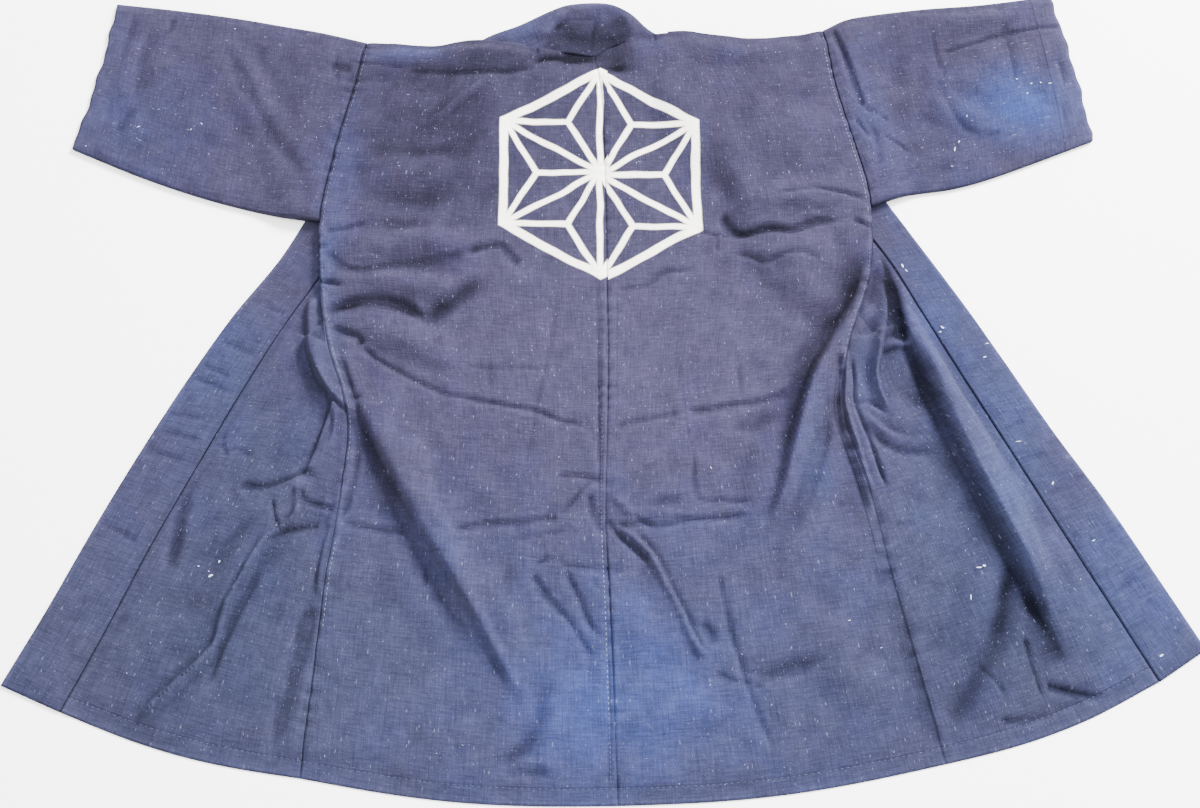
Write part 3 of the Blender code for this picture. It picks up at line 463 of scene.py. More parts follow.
def back_height(sections, x, y):
    """The height of the back's middle on the floor, over the fronts and with its folds, how
    far it dips at the neck, and the least height that creases leave it."""
    past = side_of(sections) * (x - ridge_edge(sections, y))
    lift = smooth(-LIFT_RUN, -0.6, past) * smooth(LIFT_LOW, LIFT_HIGH, y)
    aside = np.abs(x + NECK_SHIFT)
    neck = smooth(NECK_LOW, NECK_TOP, y) * (1.0 - smooth(NECK_INNER, NECK_OUTER, aside))
    height = FLOOR_LAYER + BACK_LIFT * np.maximum(lift, neck) + relief(BODY_FOLDS, x, y)
    dip = (1.0 - smooth(NECK_HALF, NECK_HALF + DIP_RUN, aside)) * smooth(DIP_LOW, DIP_TOP, y)
    least = FLOOR_LAYER + LEAST_LIFT * np.maximum(lift, neck)
    return height + (NECK_LEVEL - height) * dip, dip, np.minimum(least, height)


def back_places(sections, top, place, section):
    """The back's x and y, its height without creases, and its full height."""
    across = CENTRE * np.arange(COLUMNS + 1)[None, :] / COLUMNS
    ruled_x = section[:, 0:1] + (section[:, 2:3] - section[:, 0:1]) * across
    ruled_y = section[:, 1:2] + (section[:, 3:4] - section[:, 1:2]) * across
    # The hem sags a little between its ends, and the shoulder edge has its own shape.
    hem = 1.0 - smooth(0.0, HEM_RUN, np.hypot(ruled_x - ruled_x[:1], ruled_y - ruled_y[:1]))
    edge = through(top, across[0] * (len(top) - 1))
    near = smooth(SHOULDER - TOP_RUN, SHOULDER, place)
    x = ruled_x + (edge[:, 0] - ruled_x[-1]) * near
    y = ruled_y - HEM_BOW * np.sin(math.pi * across) * hem
    y = y + (edge[:, 1] - ruled_y[-1]) * near
    plain, dip, least = back_height(sections, x, y)
    from_hem = place * SECTION_LENGTH
    off_side, off_centre = across * BACK_WIDTH, (1.0 - across) * BACK_WIDTH
    loft = (LOFT * smooth(0.0, LOFT_RUN, from_hem)
            * smooth(0.0, CALM_SHOULDER, SHOULDER * SECTION_LENGTH - from_hem))
    own = loft + cockle(x, y) + DEPTH * relief(BODY_CREASES, x, y)
    own = own + pucker(from_hem, off_side, 2.0 - side_of(sections))
    own = own + pucker(from_hem, off_centre, 2.0)
    own = own - CENTRE_DIP * np.exp(-(off_centre / SEAM_DIP) ** 2)
    own = own - SIDE_DIP * np.exp(-(off_side / SEAM_DIP) ** 2)
    own = own * smooth(0.0, CALM_HEM, from_hem) * (1.0 - dip)
    return x, y, plain, ease_top(np.maximum(plain + own, least + (plain - least) * dip))


def front_places(sections, place, section, x, y, plain, back_z):
    """The front: hidden under the back, then doubled over and drawn out at the seam. The
    last four are the back's places above it."""
    column = np.arange(COLUMNS + 1)[None, :]
    share = column / COLUMNS
    past = np.broadcast_to(column > SHOULDER_COLUMNS, x.shape)   # beyond the fold
    turned = (place <= TURNED_OUT).astype(float)

    # The side seam hangs from the back's edge, and runs in under it towards the armpit.
    beside = 1.0 - smooth(TURNED_OUT + 0.2, TURNED_OUT + 0.7, place)
    low_z, seam_own = plain[:, :1], back_z[:, :1] - plain[:, :1]
    raised = smooth(FLOOR_LAYER, BACK_LIFT, low_z)
    seam_x = x[:, :1] + side_of(sections) * (SIDE_GAP + SEAM_GAP * raised)
    seam_y = y[:, :1]
    seam_z = low_z - (CLOTH + 4 * SEAM_GAP) * (1.0 - beside)
    settle = smooth(TURNED_OUT + 1.0, ARMPIT, place)
    seam_z = seam_z + (UNDER_LAYER - seam_z) * settle
    tucked = smooth(TURNED_OUT + 0.3, TURNED_OUT + 1.0, place)
    level = (FLOOR_LAYER + FRONT_RISE * smooth(TURNED_OUT - 0.6, TURNED_OUT, place)
             + (UNDER_LAYER - FLOOR_LAYER - FRONT_RISE) * tucked)
    hanging = smooth(TURNED_OUT - 0.7, TURNED_OUT, place)
    hanging = hanging * (1.0 - smooth(ARMPIT - 1.0, ARMPIT - 0.3, place))

    # From the seam to the fold, and at the shoulder up to the back's edge.
    t = np.clip(column / SHOULDER_COLUMNS, 0.0, 1.0)
    fold_x, fold_y = section[:, 4:5], section[:, 5:6]
    fx, fy = seam_x + (fold_x - seam_x) * t, seam_y + (fold_y - seam_y) * t
    over = smooth(FIRST_FLIP, SHOULDER, place)
    fx, fy = fx + (x[-1:] - fx) * over, fy + (y[-1:] - fy) * over
    drop = smooth(-0.08, 0.60 - 0.30 * tucked, t)
    drop = np.where(t > 0, drop, 0.0)
    drop = drop + (t - drop) * hanging
    fz = seam_z + (level - seam_z) * drop
    # Past the fold it lies on the floor, out to the collar's seam.
    flips = COLUMNS - SHOULDER_COLUMNS - 1
    s = np.clip((column - SHOULDER_COLUMNS - 1 + turned) / (flips + turned), 0.0, 1.0)
    fx = np.where(past, fold_x + (section[:, 6:7] - fold_x) * s, fx)
    fy = np.where(past, fold_y + (section[:, 7:8] - fold_y) * s, fy)
    fz = np.where(past, FLOOR_LAYER, fz)
    corners = np.array(sections[0])
    middle = (corners[0:2] + corners[6:8]) / 2
    hem = 1.0 - smooth(0.0, HEM_RUN, np.hypot(fx - middle[0], fy - middle[1]) - FRONT_HEM_HALF)
    fy = fy - HEM_BOW * np.sin(math.pi * share) * hem * (1.0 - np.minimum(place, 1.0))

    # Folds and creases, where the front shows.
    free = smooth(0.0, 0.35, share) * smooth(0.0, 0.12, 1.0 - share)
    flat_z = np.where(turned > 0, FLOOR_LAYER, fz)
    fz = fz + turned * free * relief(BODY_FOLDS, fx, fy)
    from_hem = place * SECTION_LENGTH
    off_side, off_band = share * FRONT_WIDTH, (1.0 - share) * FRONT_WIDTH
    shown = np.where(past, 1.0 - smooth(TURNED_OUT + 0.9, TURNED_OUT + 1.6, place),
                     1.0 - smooth(TURNED_OUT + 0.3, TURNED_OUT + 0.8, place))
    own = (LOFT * smooth(0.0, LOFT_RUN, from_hem) + cockle(fx, fy)
           + DEPTH * relief(BODY_CREASES, fx, fy))
    own = own + pucker(from_hem, off_side, 2.0 - side_of(sections))
    own = own + pucker(from_hem, off_band, 3.0 - side_of(sections))
    own = own - SIDE_DIP * np.exp(-(off_side / SEAM_DIP) ** 2)
    own = own * smooth(0.0, CALM_HEM, from_hem) * smooth(0.0, 2.4, off_band)
    for height, reach in BAND_EDGE:
        own = own + height * np.exp(-(off_band / reach) ** 2)
    own = seam_own + (own - seam_own) * smooth(0.0, 0.9, off_side)
    fz = ease_top(np.maximum(fz + own * shown, flat_z))
    front = np.dstack((fx, fy, fz))
    front[past & (place > FIRST_FLIP)] = np.nan
    return front


def body_places(sections, top):
    """Rows of places for one strip, from the back hem over the shoulder to the front hem."""
    place = np.arange(BACK_ROWS + 1)[:, None] / ROW_STEPS
    section = through(sections, place[:, 0])
    x, y, plain, z = back_places(sections, top, place, section)
    radius = (z[-1] - UNDER_LAYER) / 2
    roll = []
    for step in range(1, ROLL_STEPS):
        angle = math.pi * step / ROLL_STEPS
        roll.append(np.column_stack((x[-1], y[-1] + radius * math.sin(angle),
                                     UNDER_LAYER + radius * (1 + math.cos(angle)))))
    front = front_places(sections, *(part[FRONT_ROWS] for part in (place, section, x, y, plain, z)))
    rows = np.concatenate((np.dstack((x, y, z)), np.array(roll), front[::-1]))
    rows[BACK_ROWS + 1:BACK_ROWS + ROLL_STEPS, SHOULDER_COLUMNS + 1:] = np.nan
    return rows


def colour(code):
    """A linear colour from an sRGB hex code."""
    parts = [int(code[i:i + 2], 16) / 255 for i in (1, 3, 5)]
    return tuple(p / 12.92 if p <= 0.04045 else ((p + 0.055) / 1.055) ** 2.4
                 for p in parts) + (1.0,)


def add(tree, kind, inputs=None, **settings):
    """A shader node with its settings, its inputs linked from nodes or set."""
    node = tree.nodes.new("ShaderNode" + kind)
    for name, value in settings.items():
        setattr(node, name, value)
    for name, value in (inputs or {}).items():
        if isinstance(value, bpy.types.Node):
            value = value.outputs[0]
        if isinstance(value, bpy.types.NodeSocket):
            tree.links.new(value, node.inputs[name])
        else:
            node.inputs[name].default_value = value
    return node


# Where the dye has faded or stayed, and where shade is painted: x, y, half width, half height,
# blue, slate, light. The darkest light values, at the neck, beside the right hollow and at the
# left hip's foot, are painted shade.
DYE_FADES_AND_PAINTED_SHADE = (
    (2, -32, 12, 9, .60, -.3, .30), (-24, -30, 11, 12, .0, .4, .04), (22, -33, 9, 8, .02, .3, -.10),
    (50.5, 37.2, 6.5, 4.8, .85, 0, .16), (41, 30, 9, 8, .12, 0, -.20),
    (-53.5, 34, 7, 9, .25, .1, -.10), (-43, 5, 6, 9, .30, .2, .06), (-55, -26, 6, 8, -.15, .3, .0),
    (56, -22, 7, 9, .35, .1, .10), (47, 1, 6, 8, .15, .1, .10), (-42, -28, 11, 10, .0, .6, -.30),
    (43, -28, 11, 10, -.02, .5, -.40), (12, 4, 16, 16, -.10, 0, .42),
    (-10, 8, 14, 14, -.10, 0, .30), (-20, 33, 11, 11, -.05, 0, -.72),
    (20, 36, 10, 10, -.05, 0, -.10), (-14, 43, 14, 4, -.05, 0, -.30), (38, 10, 6, 12, .34, .2, .04),
    (-37, -8, 8, 12, .05, .5, -.24), (38, -12, 8, 12, .08, .5, -.04),
    (45, -9, 3.2, 12, .30, .2, .06), (-44, 42, 13, 9, -.05, 0, -.06),
    (38, 44, 13, 8, -.05, 0, -.34), (-1.2, 46.2, 4.8, 3.6, .0, 0, -1.0),
    (-10, 47.6, 4, 2.2, .25, 0, .30), (-23, 43.6, 5, 1.5, .35, 0, .34),
    (-12.5, 43, 4.4, 1.3, 0, 0, -.4), (-31, 6, 2.6, 7, .1, .5, .2), (34.5, 3, 3.4, 4, 0, .2, -.3),
    (29.5, 4, 2, 5, .2, .5, .2), (28.8, 13, 1.5, 4.6, 0, 0, -.5),
    (-25.7, -3.2, 1.0, 2.4, 0, 0, -.5), (23.6, -6, 2.0, 6, .25, .2, .3), (32, 37, 3, 7, .25, 0, .1),
    (-30, 30, 3, 9, .12, .1, .16), (-5.2, 43.1, 3.0, .8, 0, 0, -.9), (1.7, 42, 2.1, .9, 0, 0, -.9),
    (3.6, 41.4, 1.8, .8, 0, 0, -.5), (-31.4, 17, 1.4, 5.5, .3, .2, .22),
    (-1.6, 43.2, 1.2, .5, 0, 0, -.4), (8, 47, 7, 2, 0, 0, -.2),
)


# The folds here are lower than a real coat's and throw less shadow, so the colour carries
# extra shade at their feet and light on their crests. It is fixed to the cloth.
SHADES = (
    ("neck side right", .12, .9, .8, 0, .3, (2.4, 46.6), (2.4, 44.6), (2.4, 43)),
    ("roll foot", -.24, .35, 6.0, .2, .1,
     (31.9, 19.4), (33.4, 13.4), (35.5, 6), (38, -1.4), (40.9, -8.3), (44.2, -15.6), (46, -21),
     (48.4, -26.4), (49.6, -28.6)),
    ("roll crest", .18, 3.6, .3, .0, .25,
     (32.4, 17.2), (34.7, 9.9), (38.6, -1.4), (41.6, -8.3), (45, -15.6), (47.8, -22.4)),
    ("roll end", -.34, .8, 3.0, .1, .3, (46, -19), (47.2, -23), (48.4, -26), (49, -28.6)),
    ("roll side", .30, 1.5, 1.5, 0, .25,
     (36.4, 3), (38.6, -3), (40.8, -8), (42.8, -12), (44.8, -17), (46, -21), (47, -24)),
    ("hem fold right", -.18, .6, 2.4, .1, .3, (47.5, -30.2), (50, -30.8), (53, -30.4)),
    ("hip foot right", -.36, .5, 4.6, 0, .4,
     (29.4, 14), (26.4, 8.4), (24.1, 4.6), (22.8, 1.6), (21.8, -1.6), (20.4, -6), (18.6, -12)),
    ("hollow", -.75, 1.5, 1.3, .1, .25, (32.8, 17), (33.5, 13.4), (34, 10.6), (34.2, 8.2)),
    ("leaf gap", -.60, 1.2, .5, .2, .2, (32.2, 18.6), (32.9, 16), (33.1, 13.6), (33, 11), (32.6, 9)),
    ("hollow low", -.60, 1.8, 1.4, .1, .3, (32, 8), (33.8, 8), (35.2, 7.6)),
    ("hollow wide", -.45, 1.8, 2.0, 0, .3, (33.2, 15.6), (34, 11.6), (34.6, 7)),
    ("hollow foot", -.12, 1.4, 3.0, 0, .35, (35, 6), (35.6, 2.4), (36.8, -1.4)),
    ("blade left a", -.16, 2.2, 2.2, 0, .4, (-24, 23.4), (-20, 24), (-17, 26.4), (-15, 30), (-14.4, 33)),
    ("blade left b", -.08, 1.5, 1.5, 0, .45, (-28, 30.6), (-23, 30.2), (-17, 31)),
    ("blade left c", .13, 1.6, 1.6, 0, .4, (-29, 27.6), (-23, 27.4), (-19, 28)),
    ("blade left d", .08, 1.8, 1.8, 0, .4, (-27, 37.6), (-21, 37.4), (-16, 38)),
    ("yoke tail", .22, .4, .9, .3, .3, (-20, 34.4), (-16.4, 37.4), (-12.8, 40.8)),
    ("yoke tail foot", -.09, .9, .4, .1, .3, (-18.6, 33.6), (-15.2, 36.8), (-11.6, 40.2)),
    ("armpit left", .14, 1.6, 1.6, .1, .35, (-31.6, 25), (-29.6, 22.4), (-27, 20.4)),
    ("blade right", -.30, 2.2, 2.2, 0, .35, (12.8, 36), (14.2, 30), (15.4, 25.4), (16.6, 22)),
    ("rib right", -.40, 1.6, 1.0, .1, .35, (14.8, 22.4), (16.6, 20.3), (20, 20.5), (24, 20.6)),
    ("blade right b", .08, 3, 3, 0, .4, (24, 38), (24.6, 33), (25, 28)),
    ("waist right", -.10, 2.4, 2.4, 0, .4, (13, -3.6), (17, -2.6), (21, 0)),
    ("seat right", -.10, 2.0, 2.0, 0, .4, (13.6, -27.6), (18, -28.6), (24, -26.6)),
    ("skirt left", -.12, 1.8, 1.8, 0, .4, (-12, -39), (-8, -37), (-5.8, -33), (-5, -28)),
    ("hip left side", -.16, .4, 2.2, .1, .3, (-26, -1.6), (-23.6, -7), (-19.6, -13.6)),
    ("hip left side low", .40, 1.7, 1.7, 0, .25,
     (-22.6, -9.4), (-19.6, -14.6), (-16.6, -20), (-13.2, -26), (-11, -29.6)),
    ("pleat lit", .16, .8, .8, .5, .2, (-31.2, -8.4), (-33.6, -9.8), (-35.2, -11.4)),
    ("facet lit", .14, .8, .8, .5, .2, (-33.4, -11.6), (-35.6, -13)),
    ("pleat side lit", .04, .8, .8, .3, .15, (-27.9, -4.6), (-28.6, -10), (-29.4, -13)),
    ("crease lit", .12, .6, .3, .5, .1, (-36, -15.6), (-38.6, -20.4), (-40.4, -25), (-41, -27),
     (-45.4, -31.4), (-48.6, -34.4)),
    ("upright left", -.20, 1.3, 1.2, 0, .2, (-45.4, -7.5), (-45.8, -13), (-46.6, -22)),
    ("dark run left", -.10, 1.2, 1.0, .1, .2,
     (-29.6, -14), (-30.4, -20), (-31.6, -27), (-32.8, -33)),
    ("hip left face", -.13, 2.4, 1.0, 0, .3, (-19.4, -6), (-16, -12), (-12.4, -19), (-8.4, -30)),
    ("side seam low right", -.38, .3, 2.4, .1, .12,
     (26.8, 4), (27, -1), (28.2, -6), (29.7, -12), (30.9, -17), (32.1, -22), (33.2, -27),
     (34.5, -33), (35.8, -38)),
    ("side seam right", -.20, .9, .3, .2, .15, (31.4, 20), (30.8, 15), (29.6, 11), (28, 7)),
    ("side shade right", -.42, .6, 4.0, 0, .25, (30.8, 19.6), (29.8, 15), (27.8, 11), (25.4, 7.4)),
    ("slant", -.22, 2.8, 2.8, 0, .15, (45, -17), (43.2, -22), (41, -27), (38.6, -32), (36.2, -36)),
    ("left side seam", -.14, .3, .8, .2, .15, (-32.2, 20), (-32, 14), (-31.4, 9)),
    ("waist left", -.48, 1.2, 1.0, .1, .2,
     (-32, 10.4), (-29.6, 11), (-27, 11.4), (-24.4, 11.5), (-22, 11), (-20.4, 9.8)),
    ("waist slope left", -.46, 2.2, 2.2, 0, .3,
     (-20.8, 8.6), (-19.4, 10.4), (-17, 12.2), (-14, 13.8), (-10.4, 15.2)),
    ("rib lit left", .12, 1.2, 1.0, 0, .3, (-30, 13.7), (-25, 13.9), (-21, 13.6)),
    ("strip foot", -.16, .3, 2.2, .1, .2, (-33, 9), (-31.8, 4), (-30.2, .6), (-30.2, -3), (-31.8, -8)),
    ("strip face", -.14, 1.2, 1.4, 0, .3, (-32.2, 9), (-30.6, 4.6), (-28.8, 1)),
    ("pleat dark", -.15, 1.6, 1.8, 0, .3, (-31, -8.6), (-30.2, -11.6), (-29.8, -14.6)),
    ("front lit left", .10, 1.4, 1.4, 0, .3, (-41, -15.6), (-37.4, -11.8), (-34.4, -10.4)),
    ("yoke lit left", .12, 1.5, 1.5, 0, .3, (-29.4, 42.8), (-24, 42.8), (-17.6, 42.2)),
    ("blade lit left", .11, 1.1, 1.3, 0, .3, (-28.4, 26.2), (-24, 26), (-19.4, 26.2)),
    ("rib crest left", .10, .9, .8, 0, .3, (-29.6, 18), (-25, 18), (-20.6, 18.4)),
)
# Painted shade and painted light on the band round the back of the neck, read the same way.
COLLAR_SHADES = (
    ("panel left side", -.28, 5.4, .8, .1, .25,
     (-4.3, 49.2), (-5.2, 47.8), (-6.1, 45.8), (-6.6, 43.6), (-6.8, 41)),
    ("panel right side", -.28, .8, 5.0, .1, .12,
     (2.6, 49.4), (3.2, 47.8), (3.5, 46.2), (3.4, 44), (3, 41)),
    ("panel top", -.12, .5, 1.8, .1, .2, (-4, 48.9), (-2.4, 48.8), (-.8, 49)),
    ("streak", -.12, .6, .5, .2, .3, (-.3, 50.6), (-.8, 47), (-1.1, 43.4)),
    ("streak b", -.08, .4, .4, .2, .3, (-3.2, 49), (-3.6, 46.8), (-3.6, 44)),
    ("left face", .14, .3, 2.2, .1, .2, (-5, 49.4), (-6.6, 46.4), (-7.6, 43.8)),
    ("right rim", -.10, 1.0, 1.0, .1, .3, (.2, 50.2), (1.8, 49.8), (3, 48.6)),
)


EDGE_SLOPE = 0.0012                        # width of the slope where a turned edge ends
GROOVE_SHADE_HALF = 0.0016                            # half width of the painted shade in the groove that a seam pulls in
LINE_END = 0.01                            # length over which a seam's line runs out


def blank_material(name):
    """A new material, with its tree and its shader."""
    material = bpy.data.materials.new(name)
    material.use_nodes = True
    return material, material.node_tree, material.node_tree.nodes["Principled BSDF"]


def cloth_material(name, base, blue, lines=(), design=None):
    """Indigo-dyed plain-weave cotton: yarns uneven in thickness and dye, faded blue
    where light and washing reached, pale lint and slubs caught on a matt surface, with painted
    shade and painted light from the pieces' attribute and painted shade in the seams' grooves."""
    material, tree, shader = blank_material(name)
    weave = add(tree, "UVMap", uv_map="cloth")
    # The real yarns are about 0.6 mm; they are drawn at 2 mm to show at this distance.
    yarns = []
    for scale in ((520, 34, 1), (42, 480, 1)):
        at = add(tree, "Mapping", {"Vector": weave, "Scale": scale})
        yarns.append(add(tree, "TexNoise", {"Vector": at, "Scale": 1.0, "Detail": 3.0,
                                            "Roughness": 0.72, "Distortion": 0.5}))
    both = add(tree, "Math", {0: yarns[0], 1: yarns[1]}, operation="ADD")
    grain = add(tree, "MapRange", {"Value": both, "From Min": 0.72, "From Max": 1.28})
    # Dye: broad uneven clouds, and the fades that the pieces carry as an attribute, whose
    # lightness also holds painted shade in hollows and painted light on crests.
    solid = add(tree, "TexCoord")
    clouds = add(tree, "TexNoise", {"Vector": solid.outputs["Object"], "Scale": 14.0,
                                    "Detail": 5.0, "Roughness": 0.6})
    fades_and_painted_shade = add(tree, "SeparateColor", {0: add(tree, "Attribute", attribute_name="fade")})
    mottle = add(tree, "MapRange", {"Value": clouds, "From Min": 0.35, "From Max": 0.65,
                                    "To Min": -0.10, "To Max": 0.12})
    blueness = add(tree, "Math", {0: fades_and_painted_shade.outputs[0], 1: mottle}, operation="ADD", use_clamp=True)
    dye = add(tree, "Mix", {"Factor": blueness, "A": colour(base), "B": colour(blue)},
              data_type="RGBA")
    slate = add(tree, "Math", {0: fades_and_painted_shade.outputs[2], 1: mottle}, operation="SUBTRACT", use_clamp=True)
    dye = add(tree, "Mix", {"Factor": slate, "A": dye.outputs["Result"], "B": colour("#2a2e40")},
              data_type="RGBA")
    # Lightness: faded dye and worn edges, with painted shade and painted light.
    lightness_and_painted_shade = add(tree, "MapRange", {"Value": fades_and_painted_shade.outputs[1], "From Min": -0.5, "From Max": 1.0,
                                   "To Min": 0.16, "To Max": 1.50})
    tone = add(tree, "MapRange", {"Value": grain, "To Min": 0.72, "To Max": 1.28})
    shade = add(tree, "Math", {0: lightness_and_painted_shade, 1: tone}, operation="MULTIPLY")
    patchy = add(tree, "TexNoise", {"Vector": solid.outputs["Object"], "Scale": 60.0,
                                    "Detail": 6.0, "Roughness": 0.78})
    patchy = add(tree, "MapRange", {"Value": patchy, "From Min": 0.3, "From Max": 0.7,
                                    "To Min": 0.80, "To Max": 1.20})
    shade = add(tree, "Math", {0: shade, 1: patchy}, operation="MULTIPLY")
    scaled = add(tree, "VectorMath", {0: dye.outputs["Result"], "Scale": shade}, operation="SCALE")
    # Lint and slubs: short pale flecks along the yarns.
    here = scaled.outputs[0]
    for scale, low in (((420, 150, 1), 0.77), ((900, 500, 1), 0.76)):
        at = add(tree, "Mapping", {"Vector": weave, "Scale": scale})
        fleck = add(tree, "TexNoise", {"Vector": at, "Scale": 1.0, "Detail": 0.0})
        fleck = add(tree, "MapRange", {"Value": fleck, "From Min": low, "From Max": low + 0.05,
                                       "To Max": 0.30})
        here = add(tree, "Mix", {"Factor": fleck, "A": here, "B": colour("#62667e")},
                   data_type="RGBA").outputs["Result"]
    height = grain
    # Sewn and turned edges: the doubled cloth stands proud up to each stitched line, and its
    # groove is painted dark as shade. A line has its axis, place and reach, then from where to where
    # it runs, and the strength of its painted shade.
    apart = add(tree, "SeparateXYZ", {0: weave})
    for axis, at, reach, low, high, shade_strength in lines:
        value = apart.outputs[axis]
        off = add(tree, "Math", {0: value, 1: at}, operation="SUBTRACT")
        off = add(tree, "Math", {0: off}, operation="ABSOLUTE")
        step = add(tree, "MapRange", {"Value": off, "From Min": reach, "From Max": reach + EDGE_SLOPE,
                                      "To Min": 1.0, "To Max": 0.0})
        groove_shade = add(tree, "Math", {0: off, 1: reach + EDGE_SLOPE / 2}, operation="SUBTRACT")
        groove_shade = add(tree, "Math", {0: groove_shade}, operation="ABSOLUTE")
        groove_shade = add(tree, "MapRange", {"Value": groove_shade, "From Min": 0.0, "From Max": GROOVE_SHADE_HALF,
                                        "To Min": shade_strength, "To Max": 0.0})
        other = apart.outputs[1 - axis]
        inside = add(tree, "MapRange", {"Value": other, "From Min": low, "From Max": low + LINE_END})
        outside = add(tree, "MapRange", {"Value": other, "From Min": high - LINE_END,
                                         "From Max": high, "To Min": 1.0, "To Max": 0.0})
        window = add(tree, "Math", {0: inside, 1: outside}, operation="MULTIPLY")
        step = add(tree, "Math", {0: step, 1: window}, operation="MULTIPLY")
        groove_shade = add(tree, "Math", {0: groove_shade, 1: window}, operation="MULTIPLY")
        height = add(tree, "Math", {0: step, 1: 1.6, 2: height}, operation="MULTIPLY_ADD")
        # Painted shade: near-black along the seam's groove.
        here = add(tree, "Mix", {"Factor": groove_shade, "A": here, "B": colour("#07080f")},
                   data_type="RGBA").outputs["Result"]
        lighter = add(tree, "Math", {0: step, 1: 0.04}, operation="MULTIPLY")
        here = add(tree, "Mix", {"Factor": lighter, "A": here, "B": colour("#4b506b")},
                   data_type="RGBA").outputs["Result"]
    if design:
        here = design(tree, solid.outputs["Object"], apart.outputs[1], grain, here)
    rumple = add(tree, "Mapping", {"Vector": solid.outputs["Object"], "Scale": (70, 110, 70)})
    rumple = add(tree, "TexNoise", {"Vector": rumple, "Scale": 1.0, "Detail": 3.0,
                                    "Roughness": 0.55, "Distortion": 0.8})
    washed = add(tree, "Bump", {"Height": rumple, "Strength": 0.45, "Distance": 0.0016})
    bump = add(tree, "Bump", {"Height": height, "Strength": 0.6, "Distance": 0.0006,
                              "Normal": washed})
    tree.links.new(here, shader.inputs["Base Color"])
    tree.links.new(bump.outputs[0], shader.inputs["Normal"])
    for socket, value in (("Roughness", 0.95), ("Specular IOR Level", 0.02),
                          ("Sheen Weight", 0.01), ("Sheen Roughness", 0.5)):
        shader.inputs[socket].default_value = value
    return material


def hollow(height, reach):
    """How far each place lies below the mean of the places around it."""
    padded = np.pad(height, reach, mode="edge")
    total = np.zeros_like(height)
    amount = np.zeros_like(height)
    for i in range(-reach, reach + 1):
        for j in range(-reach, reach + 1):
            part = padded[reach + i:reach + i + height.shape[0],
                          reach + j:reach + j + height.shape[1]]
            total += np.nan_to_num(part)
            amount += ~np.isnan(part)
    return np.nan_to_num(total / np.maximum(amount, 1) - height)


def laid_out(name, shape, material):
    """The object that a finished bmesh makes, in its material."""
    mesh = bpy.data.meshes.new(name)
    shape.to_mesh(mesh)
    shape.free()
    mesh.materials.append(material)
    made = bpy.data.objects.new(name, mesh)
    bpy.context.collection.objects.link(made)
    return made


PLAIN_LIGHT, PLAIN_SLATE = 0.33, 0.05      # of cloth away from all fades
HEM_FADE_LOW, HEM_FADE_TOP = -24.0, 14.0   # y over which the cloth fades towards its hem
NEAR_CELLS, WIDE_CELLS, WIDE_SHARE = 3, 7, 0.6   # surroundings that a hollow is judged by
HOLLOW_SHADE = 1.2                         # how much a hollow darkens, per centimetre
CREST_MOST, TROUGH_MOST = -0.02, 0.28      # heights beyond which it stays the same


def cloth_piece(name, rows, thickness, material, uv, worn, shades=SHADES, closed=False):
    """A sheet of cells from a flat grid, laid at the rows' places, with its thin wall."""
    count, width = rows.shape[:2]
    sheet = bmesh.new()
    # The 'fade' attribute holds blue, lightness and slate; the lightness includes painted shade and
    # painted light.
    fade = sheet.verts.layers.float_color.new("fade")
    cloth_uv = sheet.loops.layers.uv.new("cloth")
    made = bmesh.ops.create_grid(sheet, x_segments=count - 1, y_segments=width - 1, size=0.5)
    verts = sorted(made["verts"], key=lambda v: (round(v.co.x, 5), round(v.co.y, 5)))
    places = rows.reshape(-1, 3)
    metres = (places - (MIDDLE_X, MIDDLE_Y, 0.0)) * CM
    blue, lightness_and_painted_shade = np.zeros(len(places)), np.full(len(places), PLAIN_LIGHT)
    towards_hem = 1.0 - smooth(HEM_FADE_LOW, HEM_FADE_TOP, places[:, 1])
    slate = PLAIN_SLATE + 0.2 * towards_hem
    for x, y, wide, high, more_blue, more_slate, dye_light_and_painted_shade in DYE_FADES_AND_PAINTED_SHADE:
        away = np.hypot((places[:, 0] - x) / wide, (places[:, 1] - y) / high)
        patch = np.exp(-away ** 2)
        blue += more_blue * patch
        slate += 0.6 * more_slate * patch
        # Lightness from each patch: faded dye, and painted shade where the table darkens the neck and
        # hollows.
        lightness_and_painted_shade += 0.5 * dye_light_and_painted_shade * patch
    blue += 0.16 * towards_hem
    # Painted shade and painted light from the table of shades.
    lightness_and_painted_shade += np.nan_to_num(relief(shades, rows[..., 0], rows[..., 1])).ravel()
    # Extra shade in the troughs and light on the crests, fixed to the cloth like SHADES.
    pressed = hollow(rows[..., 2], NEAR_CELLS) + WIDE_SHARE * hollow(rows[..., 2], WIDE_CELLS)
    lightness_and_painted_shade -= HOLLOW_SHADE * np.clip(pressed, CREST_MOST, TROUGH_MOST).ravel()
    lightness_and_painted_shade += worn.ravel()
    cut, order = [], {}
    for index, vertex in enumerate(verts):
        order[vertex] = index
        if np.isnan(places[index, 0]):
            cut.append(vertex)
            continue
        vertex.co = metres[index]
        vertex[fade] = (blue[index], lightness_and_painted_shade[index], slate[index], 1.0)
    u, v = (part.ravel() for part in uv)
    for face in sheet.faces:
        for loop in face.loops:
            index = order[loop.vert]
            loop[cloth_uv].uv = (u[index], v[index])
    bmesh.ops.delete(sheet, geom=cut, context="VERTS")
    if closed:
        bmesh.ops.remove_doubles(sheet, verts=sheet.verts, dist=1e-6)
    bmesh.ops.recalc_face_normals(sheet, faces=sheet.faces)
    for face in sheet.faces:
        face.smooth = True
    piece = laid_out(name, sheet, material)
    wall = piece.modifiers.new("Cloth wall", "SOLIDIFY")
    wall.thickness = thickness * CM
    wall.offset = 0.0
    wall.use_even_offset = False
    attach(piece, "root")
    return piece


